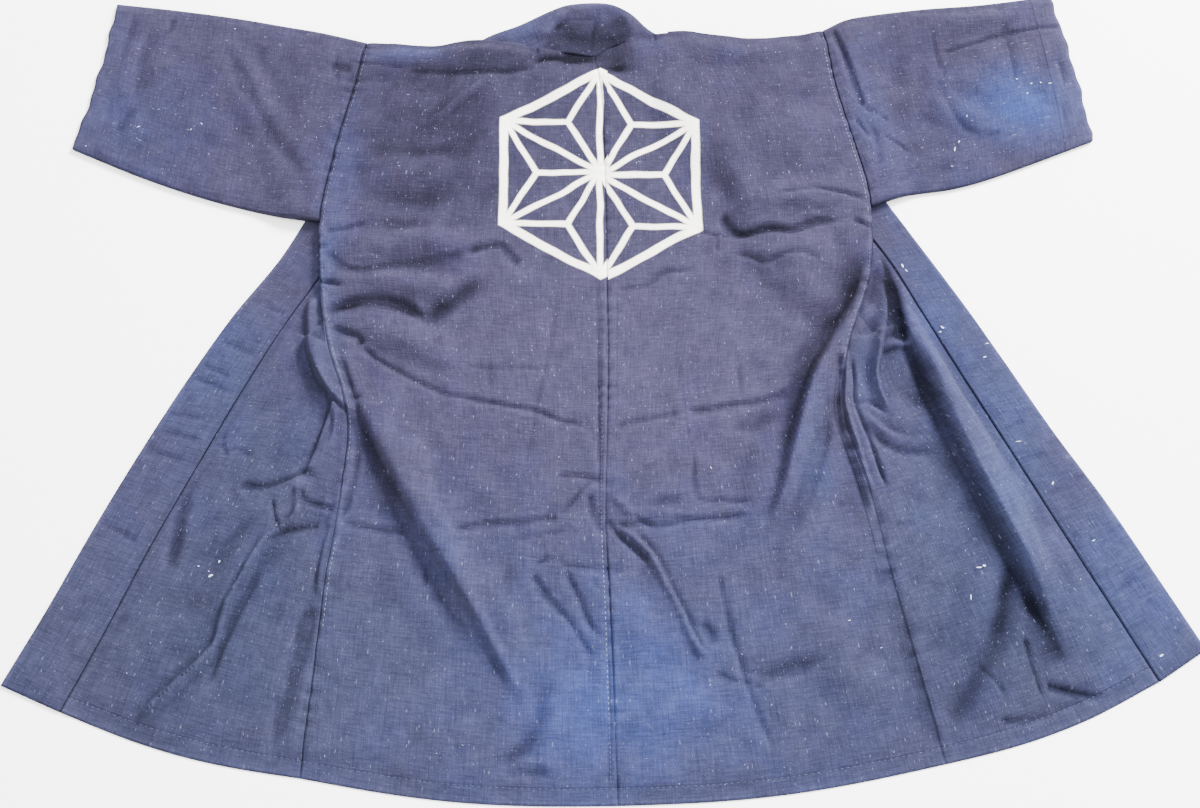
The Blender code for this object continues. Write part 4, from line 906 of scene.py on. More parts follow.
STRIP_BACK, STRIP_FRONT = 0.33, 0.246      # width of a strip at the back and the front
SECTION_RUN = 0.088                        # SECTION_LENGTH in metres
STRIP_LENGTH = 2 * SHOULDER * SECTION_RUN
HEM_TURN = 0.016                           # depth of the turned hem


def strip_uv(rows):
    """Distance from the side seam, and along the strip from the back hem, in metres."""
    count, width = rows.shape[:2]
    u = np.zeros((count, width))
    v = np.zeros((count, width))
    for row in range(count):
        back = row <= BACK_ROWS
        u[row] = np.arange(width) / COLUMNS * (STRIP_BACK if back else STRIP_FRONT)
        if back:
            v[row] = row / ROW_STEPS * SECTION_RUN
        else:
            left = FRONT_ROWS[min(count - 1 - row, len(FRONT_ROWS) - 1)]
            v[row] = STRIP_LENGTH - left / ROW_STEPS * SECTION_RUN
    return u, v


# The design on the back: a hemp-leaf star in a hexagon, resist-dyed in off-white
# across both strips, so that its halves meet a little apart at the centre seam.
DESIGN_X, DESIGN_Y = (0.0 - MIDDLE_X) * CM, (28.2 - MIDDLE_Y) * CM
DESIGN_R = 0.131                           # from its middle to a corner
DESIGN_LINE = 0.0046                       # half the width of its outline
DESIGN_VEIN = DESIGN_LINE * 0.72           # and of its finer lines
DESIGN_SOFT = 0.0009                       # softness of its edges
DESIGN_SEAM = 0.004                        # x of the seam between its halves
DESIGN_STEP = 0.004                        # how far its right half stands lower


def hemp_leaf(tree, place, along_strip, grain, under):
    """Mixes the hemp-leaf design over a colour; its edges are as uneven as hand resist."""
    wander = add(tree, "TexNoise", {"Vector": place, "Scale": 22.0, "Detail": 1.0})
    wander = add(tree, "VectorMath", {0: wander.outputs[1], 1: (0.5, 0.5, 0.5)}, operation="SUBTRACT")
    wander = add(tree, "VectorMath", {0: wander, "Scale": 0.006}, operation="SCALE")
    moved = add(tree, "VectorMath", {0: place, 1: wander}, operation="ADD")
    axes = add(tree, "SeparateXYZ", {0: moved})
    x = add(tree, "Math", {0: axes.outputs[0], 1: DESIGN_X}, operation="SUBTRACT")
    half = add(tree, "Math", {0: axes.outputs[0], 1: DESIGN_SEAM}, operation="GREATER_THAN")
    y = add(tree, "Math", {0: axes.outputs[1], 1: DESIGN_Y}, operation="SUBTRACT")
    y = add(tree, "Math", {0: half, 1: DESIGN_STEP, 2: y}, operation="MULTIPLY_ADD")
    angle = add(tree, "Math", {0: y, 1: x}, operation="ARCTAN2")
    angle = add(tree, "Math", {0: angle, 1: math.pi / 6}, operation="ADD")
    angle = add(tree, "Math", {0: angle, 1: math.pi / 6}, operation="PINGPONG")
    squares = add(tree, "Math", {0: x, 1: x}, operation="MULTIPLY")
    squares = add(tree, "Math", {0: y, 1: y, 2: squares}, operation="MULTIPLY_ADD")
    radius = add(tree, "Math", {0: squares}, operation="SQRT")
    a, b = (add(tree, "Math", {0: radius, 1: add(tree, "Math", {0: angle}, operation=part)},
                operation="MULTIPLY") for part in ("COSINE", "SINE"))
    c30, s30 = math.cos(math.pi / 6), 0.5

    def along(weight_a, weight_b, shift):
        first = add(tree, "Math", {0: a, 1: weight_a, 2: -shift}, operation="MULTIPLY_ADD")
        return add(tree, "Math", {0: b, 1: weight_b, 2: first}, operation="MULTIPLY_ADD")

    def line(distance, wide):
        away = add(tree, "Math", {0: distance}, operation="ABSOLUTE")
        return add(tree, "MapRange", {"Value": away, "From Min": wide - DESIGN_SOFT,
                                      "From Max": wide + DESIGN_SOFT,
                                      "To Min": 1.0, "To Max": 0.0})

    def below(distance):
        return add(tree, "MapRange", {"Value": distance, "From Min": -DESIGN_SOFT,
                                      "From Max": DESIGN_SOFT, "To Min": 1.0, "To Max": 0.0})

    rim = along(c30, s30, DESIGN_R * c30)
    outline = line(rim, DESIGN_LINE)
    spoke = line(along(0.0, 1.0, 0.0), DESIGN_VEIN)
    vein = line(along(-s30, c30, 0.0), DESIGN_VEIN)
    inner = below(along(c30, s30, DESIGN_R / math.sqrt(3)))
    vein = add(tree, "Math", {0: vein, 1: inner}, operation="MULTIPLY")
    leaf = line(along(s30, c30, DESIGN_R * s30), DESIGN_VEIN)
    worn = add(tree, "MapRange", {"Value": grain, "To Min": 0.90, "To Max": 0.99})
    on_back = add(tree, "Math", {0: along_strip, 1: STRIP_LENGTH / 2}, operation="LESS_THAN")
    drawn = spoke
    for joined, part in (("MAXIMUM", vein), ("MAXIMUM", leaf), ("MULTIPLY", below(rim)),
                         ("MAXIMUM", outline), ("MULTIPLY", worn), ("MULTIPLY", on_back)):
        drawn = add(tree, "Math", {0: drawn, 1: part}, operation=joined)
    return add(tree, "Mix", {"Factor": drawn, "A": under, "B": colour("#e9e7dc")},
               data_type="RGBA").outputs["Result"]


right_rows = body_places(RIGHT_SECTIONS, RIGHT_TOP)
left_rows = body_places(LEFT_SECTIONS, LEFT_TOP)
BASE, BLUE = "#2a2738", "#263159"          # the dye where it is deep, and where it has faded
# The band's seam, the side seam, and the back's and the front's hem.
strip_lines = ((0, STRIP_FRONT, 0.0, 0.86, 1.50, 0.8), (0, 0.0, 0.0, 0.0, 0.60, 0.7),
               (1, 0.0, HEM_TURN, -1.0, 1.0, 0.5), (1, STRIP_LENGTH, HEM_TURN, -1.0, 1.0, 0.5))
# On the right, the turned edges also press through beside the centre and side seams.
right_lines = strip_lines + ((0, STRIP_BACK, 0.012, 0.30, 0.52, 0.35),
                             (0, 0.0, 0.011, 0.20, 0.42, 0.25))


def frayed(along, quick, slow):
    """How far a worn edge has gone pale, unevenly along it."""
    return 0.6 + 0.4 * np.sin(along * quick) * np.sin(along * slow)


for side, rows, lines in (("right", right_rows, right_lines), ("left", left_rows, strip_lines)):
    material = cloth_material("indigo-dyed plain-weave cotton, " + side + " strip", BASE, BLUE,
                              lines, hemp_leaf)
    strip_u, strip_v = strip_uv(rows)
    seam_wear = (np.exp(-(strip_u / 0.008) ** 2) * (strip_v < STRIP_LENGTH / 2)
                 * smooth(0.12, 0.20, strip_v) * (1.0 - smooth(0.60, 0.72, strip_v))
                 * (0.5 + 0.5 * np.sin(strip_v * 236.0 + np.sin(strip_v * 61.0))))
    hem_wear = (1.3 * seam_wear + np.exp(-(strip_v / 0.003) ** 2)
                + np.exp(-((STRIP_LENGTH - strip_v) / 0.003) ** 2))
    hem_wear = hem_wear * frayed(strip_u, 310.0, 97.0)
    strip = cloth_piece("body_cloth_" + side, rows, CLOTH_WALL, material,
                        uv=(strip_u, strip_v), worn=0.45 * hem_wear)
    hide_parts("body_" + side)

# ---------------------------------------------------------------------------
# Sleeves: each one cloth folded at its top and sewn into a tube under the arm,
# then set into the armhole. They lie flattened, the upper layer on the lower,
# with a hem turned in at the cuff.
# ---------------------------------------------------------------------------
RIGHT_SLEEVE = (
    (27.2, 46.9, 31.5, 23.7), (31.2, 48.7, 36.0, 25.3), (39.0, 49.9, 42.0, 26.3),
    (47.0, 50.6, 48.0, 28.2), (55.6, 51.8, 58.7, 32.4),
)
LEFT_SLEEVE = (
    (-28.3, 45.1, -32.5, 21.8), (-36.0, 47.0, -38.0, 22.7), (-44.0, 48.6, -46.0, 24.8),
    (-52.0, 49.8, -54.0, 27.6), (-59.5, 50.7, -62.7, 31.3),
)
SLEEVE_FOLDS = (
    ("left sleeve fold", .7, 3.0, 4.2, 0, .40, (-46, 46), (-41, 38), (-34, 27)),
    ("left cuff fold", .5, 2.2, 2.6, 0, .40, (-56.5, 49.5), (-58, 42), (-57, 35)),
    ("right armhole fold", .6, 1.8, 2.6, 0, .30, (28.8, 48), (30.8, 40), (33.4, 28)),
    ("right sleeve top", .6, 2.4, 2.4, 0, .40, (39, 47), (46, 49), (54, 50)),
    ("right sleeve fold", .6, 3.4, 3.0, 0, .40, (38.5, 39), (41.5, 36), (48, 33.5)),
)
SLEEVE_CREASES = (
    ("long trough left", -.25, 1.3, 1.5, .2, .3,
     (-45.8, 45.8), (-44.2, 42.6), (-42.2, 38.6), (-40, 34.6), (-37.6, 30.6), (-35.4, 27.8),
     (-33.4, 25.4)),
    ("cuff trough left", -.26, 1.3, 1.3, .1, .3, (-56.8, 50), (-57.4, 46), (-58.6, 41)),
    ("cuff nick left", -.14, .7, .7, .3, .3, (-52.8, 49.4), (-52.4, 47.6), (-53.4, 46.2)),
    ("cuff dip left", -.18, 1.2, 1.2, 0, .35, (-55.8, 36.8), (-57.8, 32.6)),
    ("middle dip left", -.10, 1.6, 1.6, 0, .35, (-48.6, 33.4), (-43.6, 30.8)),
    ("seam band left", -.22, 1.1, 1.1, 0, .3, (-33, 41.2), (-31, 40.8), (-28, 40.2)),
    ("seam upright left", -.14, .7, .7, .3, .3, (-31.6, 45), (-31.9, 41), (-31.2, 38)),
    ("recess right", -.32, .5, 1.1, .5, .15,
     (28.1, 47.8), (29.2, 45), (30.3, 42), (31.1, 39), (31.6, 36.4)),
    ("recess right low", -.14, .8, .9, .3, .3, (31.8, 35.4), (32.6, 31.8), (32.4, 27.6)),
    ("lap right", -.20, .4, .5, .8, .25, (30.3, 35.2), (31.1, 34), (31.8, 32.8)),
    ("small crease right a", -.18, .4, .5, .8, .25, (31.4, 36.5), (32.8, 36), (34.4, 34.9)),
    ("small crease right b", -.16, .4, .5, .8, .25, (33.4, 33), (35, 32.1), (36.8, 30.6)),
    ("top trough right", -.30, .4, .7, .8, .12,
     (41.6, 44.2), (45, 45.2), (48, 46.3), (50.4, 46.9), (53, 47.4), (57, 47.9)),
    ("top nick right", -.16, .4, .5, .8, .2, (49, 51.4), (49.6, 47), (50, 43.6), (50.3, 40)),
    ("top nick right b", -.14, .4, .5, .8, .3, (40.3, 48.6), (40.7, 45.2), (41.3, 42.2), (42, 39.8)),
    ("middle dip right", -.15, .5, 1.0, .6, .25,
     (40.8, 41.6), (41.4, 37.8), (43, 34.6), (44.8, 33.2), (46.6, 33.1), (48, 33.8)),
    ("cloud right", -.14, 2.0, 2.0, 0, .35, (36.2, 46), (37, 42), (35.4, 38)),
    ("cuff nick right", -.16, .4, .6, .7, .2, (55.2, 45.8), (55.9, 42), (56.4, 39.6)),
    ("cuff nick right b", -.14, .4, .6, .7, .2, (55.4, 37.4), (55.8, 35), (56.2, 32.2)),
    ("low slope right", .16, 1.6, 1.6, .1, .35, (36, 28.6), (40, 30), (44, 29.2)),
)
SLEEVE_LIFT = 0.46                         # the upper layer's middle
SLEEVE_STEPS = 84                          # rings from the armhole to the cuff
SLEEVE_AROUND, SLEEVE_ALONG = 0.262, 0.325   # half round the armhole, and the length
CUFF_TURN = 0.024                          # depth of the turned cuff
CALM_REACH = 16                            # places to each side that even out the armhole


def sleeve_places(edges, body_rows, out, bow):
    """Rings of a flattened sleeve from the armhole to the cuff."""
    first = ARMPIT * ROW_STEPS
    upper = body_rows[first:BACK_ROWS + 1, 0]
    over = body_rows[BACK_ROWS + 1:BACK_ROWS + ROLL_STEPS, 0]
    known = FRONT_ROWS[FRONT_ROWS >= first]
    edge = body_rows[len(body_rows) - 1 - np.flatnonzero(FRONT_ROWS >= first), 0]
    wanted = np.arange(BACK_ROWS, first - 1, -1)
    lower = np.column_stack([np.interp(wanted, known, edge[:, axis]) for axis in range(3)])
    hole = np.concatenate((upper, over, lower))
    taps = np.hanning(2 * CALM_REACH + 3)[1:-1]
    calm = np.convolve(np.pad(hole[:, 2], CALM_REACH, mode="edge"), taps / taps.sum(), "valid")
    count = len(upper) - 1
    index = np.arange(len(hole))
    turn = np.clip((index - count) / ROLL_STEPS, 0.0, 1.0)
    across = np.where(index <= count, index / count,
                      np.where(turn < 1.0, 1.0, 1.0 - (index - count - ROLL_STEPS) / count))
    layer = 0.5 * (1 + np.cos(math.pi * turn))
    flat = (layer > 0.9999) | (layer < 1e-4)
    first_x = edges[0][2] + (edges[0][0] - edges[0][2]) * across
    first_y = edges[0][3] + (edges[0][1] - edges[0][3]) * across
    rings = []
    for step in range(SLEEVE_STEPS + 1):
        share = step / SLEEVE_STEPS
        top = through(edges, share * (len(edges) - 1))
        x = top[2] + (top[0] - top[2]) * across
        y = top[3] + (top[1] - top[3]) * across
        wavy = 0.10 * np.sin(across * 19.0 + out) + 0.07 * np.sin(across * 41.0)
        x = x + out * (bow * np.sin(math.pi * across) * share
                       + wavy * smooth(0.9, 1.0, share) * smooth(0.0, 0.05, across)
                       * smooth(0.0, 0.05, 1.0 - across))
        ease = smooth(0.0, 0.12, across) * smooth(0.0, 0.10, 1.0 - across)
        folds = relief(SLEEVE_FOLDS, x, y) * ease
        own = cockle(x, y) + DEPTH * relief(SLEEVE_CREASES, x, y) + 0.15
        own = own + 0.6 * pucker(across * 25.0, np.full_like(x, share * 32.5), 5.0 + out)
        own = own * smooth(0.0, 0.05, across) * smooth(0.0, 0.05, 1.0 - across)
        own = own * smooth(0.0, 0.02, 1.0 - share)
        high = SLEEVE_LIFT + folds + np.maximum(own, -0.25 * ease)
        z = FLOOR_LAYER + (high - FLOOR_LAYER) * layer
        y = y + np.where(flat, 0.0, 0.5 * (high - FLOOR_LAYER)
                         * np.sin(np.arccos(np.clip(2 * layer - 1, -1.0, 1.0))))
        near = 1.0 - smooth(0.14, 0.36, share)
        x = x + (hole[:, 0] + out * (SEAM_GAP + CLOTH / 2) - first_x) * near
        y = y + np.where(flat, (hole[:, 1] - first_y) * near, 0.0)
        z = z + (calm - z) * near + (hole[:, 2] - calm) * (1.0 - smooth(0.0, 0.07, share))
        z = z + layer * near * np.maximum(own, -0.2) * smooth(0.0, 0.05, share)
        ring = np.column_stack((x, y, z))
        rings.append(np.concatenate((ring, ring[:1])))
    return np.array(rings)


def even_uv(rows, across, along):
    """Even distances over a piece's width and its length, in metres."""
    count, width = rows.shape[:2]
    return (np.tile(np.linspace(0.0, across, width), (count, 1)),
            np.tile(np.linspace(0.0, along, count)[:, None], (1, width)))


# The cuff's turned hem, and the seam at the armhole.
sleeve_lines = ((1, SLEEVE_ALONG, CUFF_TURN, -1.0, 2.0, 0.12), (1, 0.0, 0.0, -1.0, 2.0, 0.7))
sleeve_cotton = cloth_material("indigo-dyed plain-weave cotton, sleeves", BASE, BLUE, sleeve_lines)
sleeve_rows = {}
for side, edges, body_rows, out, bow in (("right", RIGHT_SLEEVE, right_rows, 1.0, 0.3),
                                         ("left", LEFT_SLEEVE, left_rows, -1.0, -0.4)):
    rows = sleeve_rows[side] = sleeve_places(edges, body_rows, out, bow)
    sleeve_u, sleeve_v = even_uv(rows, 2 * SLEEVE_AROUND, SLEEVE_ALONG)
    cuff_wear = (0.7 * np.exp(-((SLEEVE_ALONG - sleeve_v) / 0.0035) ** 2)
                 * frayed(sleeve_u, 290.0, 83.0))
    fold_wear = (0.5 * np.exp(-((sleeve_u - SLEEVE_AROUND * 0.98) / 0.006) ** 2)
                 * frayed(sleeve_v, 270.0, 71.0))
    sleeve = cloth_piece("sleeve_cloth_" + side, rows, CLOTH_WALL, sleeve_cotton,
                         uv=(sleeve_u, sleeve_v), worn=cuff_wear + fold_wear, closed=True)
    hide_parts("sleeve_" + side)

# ---------------------------------------------------------------------------
# Collar: one long band, the cloth doubled lengthwise, sewn to both front edges
# and round the back of the neck. Both ends reach the hem.
# ---------------------------------------------------------------------------
# Places of the band round the neck: its seam, then its folded edge x, y. The seam is x, y,
# or a strip, the share of its columns, and how far under its top edge the band is sewn.
NECK_BAND = (
    ("under left", (-10.6, 41.9), -14.6, 45.9), ("left turn", (-7.2, 42.9), -9.8, 48.1),
    ("left neck", (left_rows, 11 / 13, .16), -6.0, 50.1),
    ("left crown", (left_rows, 1.0, .04), -3.4, 51.0),
    ("right crown", (right_rows, 12 / 13, .04), 0.8, 51.1),
    ("right neck", (right_rows, 11 / 13, .5), 3.6, 49.8),
    ("right turn", (5.2, 44.3), 6.6, 47.0), ("under right", (8.6, 42.4), 11.6, 45.0),
)
# Short creases across the band: how deep, and their two ends.
BAND_CREASES = (
    (-.22, (-51.5, -5), (-45.6, -6.6)), (-.20, (-49.6, -1), (-43.6, -1.8)),
    (-.20, (-50.4, -2.8), (-44.2, -4.3)), (-.22, (-40.6, 12.7), (-35.8, 10.4)),
    (-.18, (-43.8, 7.7), (-38.4, 5.4)), (-.16, (54, -8), (49, -10.4)), (-.16, (43, 8), (46.6, 6.6)),
    (-.18, (-46.6, 3.2), (-41, 1.2)), (-.16, (-46, 5), (-41.6, 3)),
    (-.16, (-54, -13.6), (-50, -15.6)), (-.16, (49.4, -5.6), (46, -6.8)),
    (-.16, (47.4, -2), (44.6, -3.4)), (-.14, (58, -19.4), (54.4, -21.4)),
)
COLLAR_CREASES = (
    ("neck facet", .22, 2.0, .8, .4, .3, (-8, 45.2), (-6.6, 46.8), (-5.4, 48.6), (-3.8, 50.4)),
    ("neck crease", -.16, .6, .8, .6, .2, (-.2, 51), (-.3, 48.6), (-.8, 46.4), (-1, 44.4)),
    ("neck trough", -.30, .9, 1.0, .3, .2, (-4.6, 49.6), (-2.6, 49.2), (-.6, 49.4)),
    ("neck facet right", .12, .9, 1.8, .2, .3, (4.8, 46.4), (3.6, 48), (2.2, 50)),
    ("neck fold", -.12, 1.0, 1.0, .1, .3, (-6.2, 47), (-4.4, 48.4), (-3.8, 50)),
) + tuple(("band crease", deep, .5, .6, .6, .25, *ends) for deep, *ends in BAND_CREASES)
NECK_STEPS = 12                            # rows between two places of the neck
COLLAR_COLUMNS = 24
BAND_GAP = SEAM_GAP + 0.01                 # parting between a front and the band's seam edge
BAND_HIGHEST = NECK_LEVEL + 0.4            # of its seam edge round the neck
COLLAR_LENGTH, COLLAR_WIDTH = 2.0, 0.062
BAND_WALL = 0.24                           # thickness that the doubled band is drawn with


def collar_places():
    """The band from the left hem corner up, round the neck and down to the right."""
    arms = []
    for sections, rows in ((LEFT_SECTIONS, left_rows), (RIGHT_SECTIONS, right_rows)):
        steps = np.arange(FIRST_FLIP * ROW_STEPS + 1)
        known = FRONT_ROWS <= steps[-1]
        sewn = rows[len(rows) - 1 - np.flatnonzero(known), COLUMNS]
        seam = np.column_stack([np.interp(steps, FRONT_ROWS[known], sewn[:, axis])
                                for axis in range(2)])
        edge = through(np.array(sections), steps / ROW_STEPS)[:, 8:10]
        wide = np.linalg.norm(edge - seam, axis=1, keepdims=True)
        seam = seam + (edge - seam) * BAND_GAP / wide
        high = np.full((len(steps), 1), BAND / 2)
        arms.append(np.hstack((seam, edge, high)))
    neck = []
    for _, (*strip, across, down), edge_x, edge_y in NECK_BAND:
        seam_x, seam_y, height = across, down, BAND / 2
        if strip:
            seam_x, seam_y, height = strip[0][BACK_ROWS, round(across * COLUMNS)]
            seam_y, height = seam_y - down, min(height, BAND_HIGHEST)
        neck.append((seam_x, seam_y, edge_x, edge_y, height))
    spine = [arms[0][-1]] + neck + [arms[1][-1]]
    inner = through(spine, np.linspace(0, len(spine) - 1, (len(spine) - 1) * NECK_STEPS + 1))
    inner[:, 4] = np.maximum(inner[:, 4], BAND / 2)
    places = np.vstack((arms[0], inner[1:-1], arms[1][::-1]))
    share = np.linspace(0.0, 1.0, COLLAR_COLUMNS + 1)[None, :]
    x = places[:, 0:1] + (places[:, 2:3] - places[:, 0:1]) * share
    y = places[:, 1:2] + (places[:, 3:4] - places[:, 1:2]) * share
    z = places[:, 4:5] + (BAND / 2 - places[:, 4:5]) * share
    own = 0.16 + 0.6 * cockle(x, y) + DEPTH * relief(COLLAR_CREASES, x, y)
    own = own * smooth(0.0, 0.25, share) * smooth(0.0, 0.2, 1.0 - share)
    ahead = np.arange(len(places))[:, None]
    own = own * smooth(0.0, 5.0, ahead) * smooth(0.0, 5.0, len(places) - 1 - ahead)
    clear = np.maximum(1.0 - smooth(9.0, 14.0, y), smooth(46.0, 47.0, y))
    return np.dstack((x, y, z + np.maximum(own, 0.0) * clear))


collar_rows = collar_places()
collar_uv = even_uv(collar_rows, COLLAR_WIDTH, COLLAR_LENGTH)
collar_cotton = cloth_material("indigo-dyed plain-weave cotton, collar band", "#292738", "#263158")
edge_wear = 0.8 * np.exp(-((COLLAR_WIDTH - collar_uv[0]) / 0.0040) ** 2)
edge_wear = edge_wear * frayed(collar_uv[1], 61.0, 23.0)
collar = cloth_piece("collar_cloth", collar_rows, BAND_WALL, collar_cotton, uv=collar_uv,
                     worn=edge_wear, shades=COLLAR_SHADES)
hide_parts("collar")

# ---------------------------------------------------------------------------
# Sewing: pale cotton thread in short running stitches that hold the seams'
# allowances and the hems. Each stitch is a small rounded length of thread.
# ---------------------------------------------------------------------------
def on_cloth(rows, row, column):
    """A place on the middle of a cloth at a fractional row and column, in metres."""
    row = min(max(row, 0.0), rows.shape[0] - 1.001)
    column = min(max(column, 0.0), rows.shape[1] - 1.001)
    i, j = int(row), int(column)
    a, b = row - i, column - j
    place = ((rows[i, j] * (1 - a) + rows[i + 1, j] * a) * (1 - b)
             + (rows[i, j + 1] * (1 - a) + rows[i + 1, j + 1] * a) * b)
    return Vector((place - (MIDDLE_X, MIDDLE_Y, 0.0)) * CM)


THREAD_LIFT = 0.00058                      # of a stitch over the middle of its cloth
PATH_STEPS = 400                           # short pieces that a run is measured in


def sew(name, runs, material):
    """Running stitches: each run is a cloth, its first and last row and column, the
    stitch's pitch and the thread's half thickness in metres."""
    threads = bmesh.new()
    for rows, first, last, pitch, thick in runs:
        path = [on_cloth(rows, first[0] + (last[0] - first[0]) * k / PATH_STEPS,
                         first[1] + (last[1] - first[1]) * k / PATH_STEPS)
                for k in range(PATH_STEPS + 1)]
        path = [p for p in path if not math.isnan(p.x)]
        gone, number = 0.0, 0
        begin = path[0]
        for here, after in zip(path, path[1:]):
            gone += (after - here).length
            if number % 2 == 0 and gone >= pitch * (0.44 + 0.05 * math.sin(number * 2.3)):
                middle = (begin + after) / 2 + Vector((0, 0, THREAD_LIFT))
                run = after - begin
                turn = run.to_track_quat("Z", "Y").to_matrix().to_4x4()
                bmesh.ops.create_cone(
                    threads, cap_ends=True, segments=6, radius1=thick, radius2=thick * 0.7,
                    depth=run.length, matrix=Matrix.Translation(middle) @ turn)
                gone, number = 0.0, number + 1
            elif number % 2 and gone >= pitch * 0.5:
                gone, number, begin = 0.0, number + 1, after
    piece = laid_out(name, threads, material)
    piece.data.shade_smooth()
    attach(piece, "root")


def thread_material(name, code):
    """Matt cotton thread, its tone a little uneven along the run."""
    material, tree, shader = blank_material(name)
    place = add(tree, "TexCoord").outputs["Object"]
    tone = add(tree, "TexNoise", {"Vector": place, "Scale": 160.0, "Detail": 2.0})
    tone = add(tree, "MapRange", {"Value": tone, "From Min": 0.3, "From Max": 0.7,
                                  "To Min": 0.7, "To Max": 1.2})
    tint = add(tree, "VectorMath", {0: colour(code)[:3], "Scale": tone}, operation="SCALE")
    tree.links.new(tint.outputs[0], shader.inputs["Base Color"])
    shader.inputs["Roughness"].default_value = 0.9
    return material


def beside(seam, rows, first, near, last, far, pitch, thick):
    """A run along the back's side or centre seam, from one section to another; near and
    far are its distances from the seam there, in centimetres."""
    ends = []
    for section, away in ((first, near), (last, far)):
        share = away / (100 * STRIP_BACK)
        ends.append((section * ROW_STEPS, COLUMNS * (share if seam == "side" else 1.0 - share)))
    return rows, *ends, pitch, thick


LAST = BACK_ROWS + ROLL_STEPS - 1 + len(FRONT_ROWS)    # just past a strip's last row
HEM_ROW = 100 * HEM_TURN / SECTION_LENGTH * ROW_STEPS  # the hem's stitched line
sew("stitches_pale", (
    beside("centre", left_rows, 1.0, .62, 2.9, .50, 0.0055, 0.00034),
    beside("side", left_rows, 1.6, .5, 2.5, .4, 0.0056, 0.00024),
    beside("side", right_rows, 7.1, .45, 9.7, .45, 0.0052, 0.00030),
), thread_material("pale cotton thread", "#6c7288"))
sew("stitches_blue", (
    beside("centre", left_rows, 2.9, .5, 4.2, .7, 0.0050, 0.00026),
    beside("centre", left_rows, 0.24, .6, 1.0, .6, 0.0050, 0.00026),
    beside("side", right_rows, 4.6, .4, 7.0, .4, 0.0052, 0.00022),
    beside("side", left_rows, 3.4, .4, 9.8, .4, 0.0052, 0.00020),
    *((rows, (row, 0.5), (row, COLUMNS - 0.5), 0.0060, 0.00014)
      for row in (HEM_ROW, LAST - HEM_ROW) for rows in (right_rows, left_rows)),
), thread_material("blue cotton thread", "#4d5570"))

# ---------------------------------------------------------------------------
# Lint: short pale fibres caught on the cloth, thin flat curls lying on its surface.
# ---------------------------------------------------------------------------
LINT_LIFT = 0.0008                         # of a fibre over the middle of its cloth
# Cloth, first and last row, first and last column, and its share of the fibres.
VISIBLE = (
    (right_rows, 4, BACK_ROWS - 6, 3, COLUMNS - 3, 30),
    (left_rows, 4, BACK_ROWS - 6, 3, COLUMNS - 3, 30),
    (right_rows, LAST - TURNED_OUT * ROW_STEPS + 12, LAST - 4, 5, COLUMNS - 3, 12),
    (left_rows, LAST - TURNED_OUT * ROW_STEPS + 12, LAST - 4, 5, COLUMNS - 3, 12),
    (sleeve_rows["right"], 3, SLEEVE_STEPS - 3, 4, 56, 8),
    (sleeve_rows["left"], 3, SLEEVE_STEPS - 3, 4, 56, 8),
    (collar_rows, 4, 120, 2, COLLAR_COLUMNS - 2, 5),
    (collar_rows, len(collar_rows) - 120, len(collar_rows) - 4, 2, COLLAR_COLUMNS - 2, 5),
)


def scatter_lint(name, code, seed, amount, short, long, half_width):
    """Fibres strewn over what shows, mostly along the warp, each a bent flat ribbon."""
    chance = np.random.default_rng(seed)
    lint = bmesh.new()
    for rows, low, high, left_edge, right_edge, share in VISIBLE:
        for _ in range(share * amount):
            place = on_cloth(rows, chance.uniform(low, high), chance.uniform(left_edge, right_edge))
            size = chance.uniform(short, long) / 3
            turn, curl = chance.normal(math.pi / 2, 0.7), chance.normal(0.0, 0.35)
            if math.isnan(place.x):
                continue
            spine = [place + Vector((0.0, 0.0, LINT_LIFT))]
            for k in range(3):
                bent = turn + curl * k
                spine.append(spine[-1] + Vector((math.cos(bent), math.sin(bent), 0.0)) * size)
            across = Vector((-math.sin(turn), math.cos(turn), 0.0)) * half_width
            ring = [lint.verts.new(p - across) for p in spine]
            ring += [lint.verts.new(p + across) for p in reversed(spine)]
            lint.faces.new(ring)
    cotton = thread_material(name.replace("_", " ") + " of cotton", code)
    fibres = laid_out(name, lint, cotton)
    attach(fibres, "root")


scatter_lint("dim_lint", "#4b5069", 11, 18, 0.0008, 0.0032, 0.00012)
scatter_lint("pale_lint", "#858aa0", 12, 3, 0.0006, 0.0026, 0.00014)

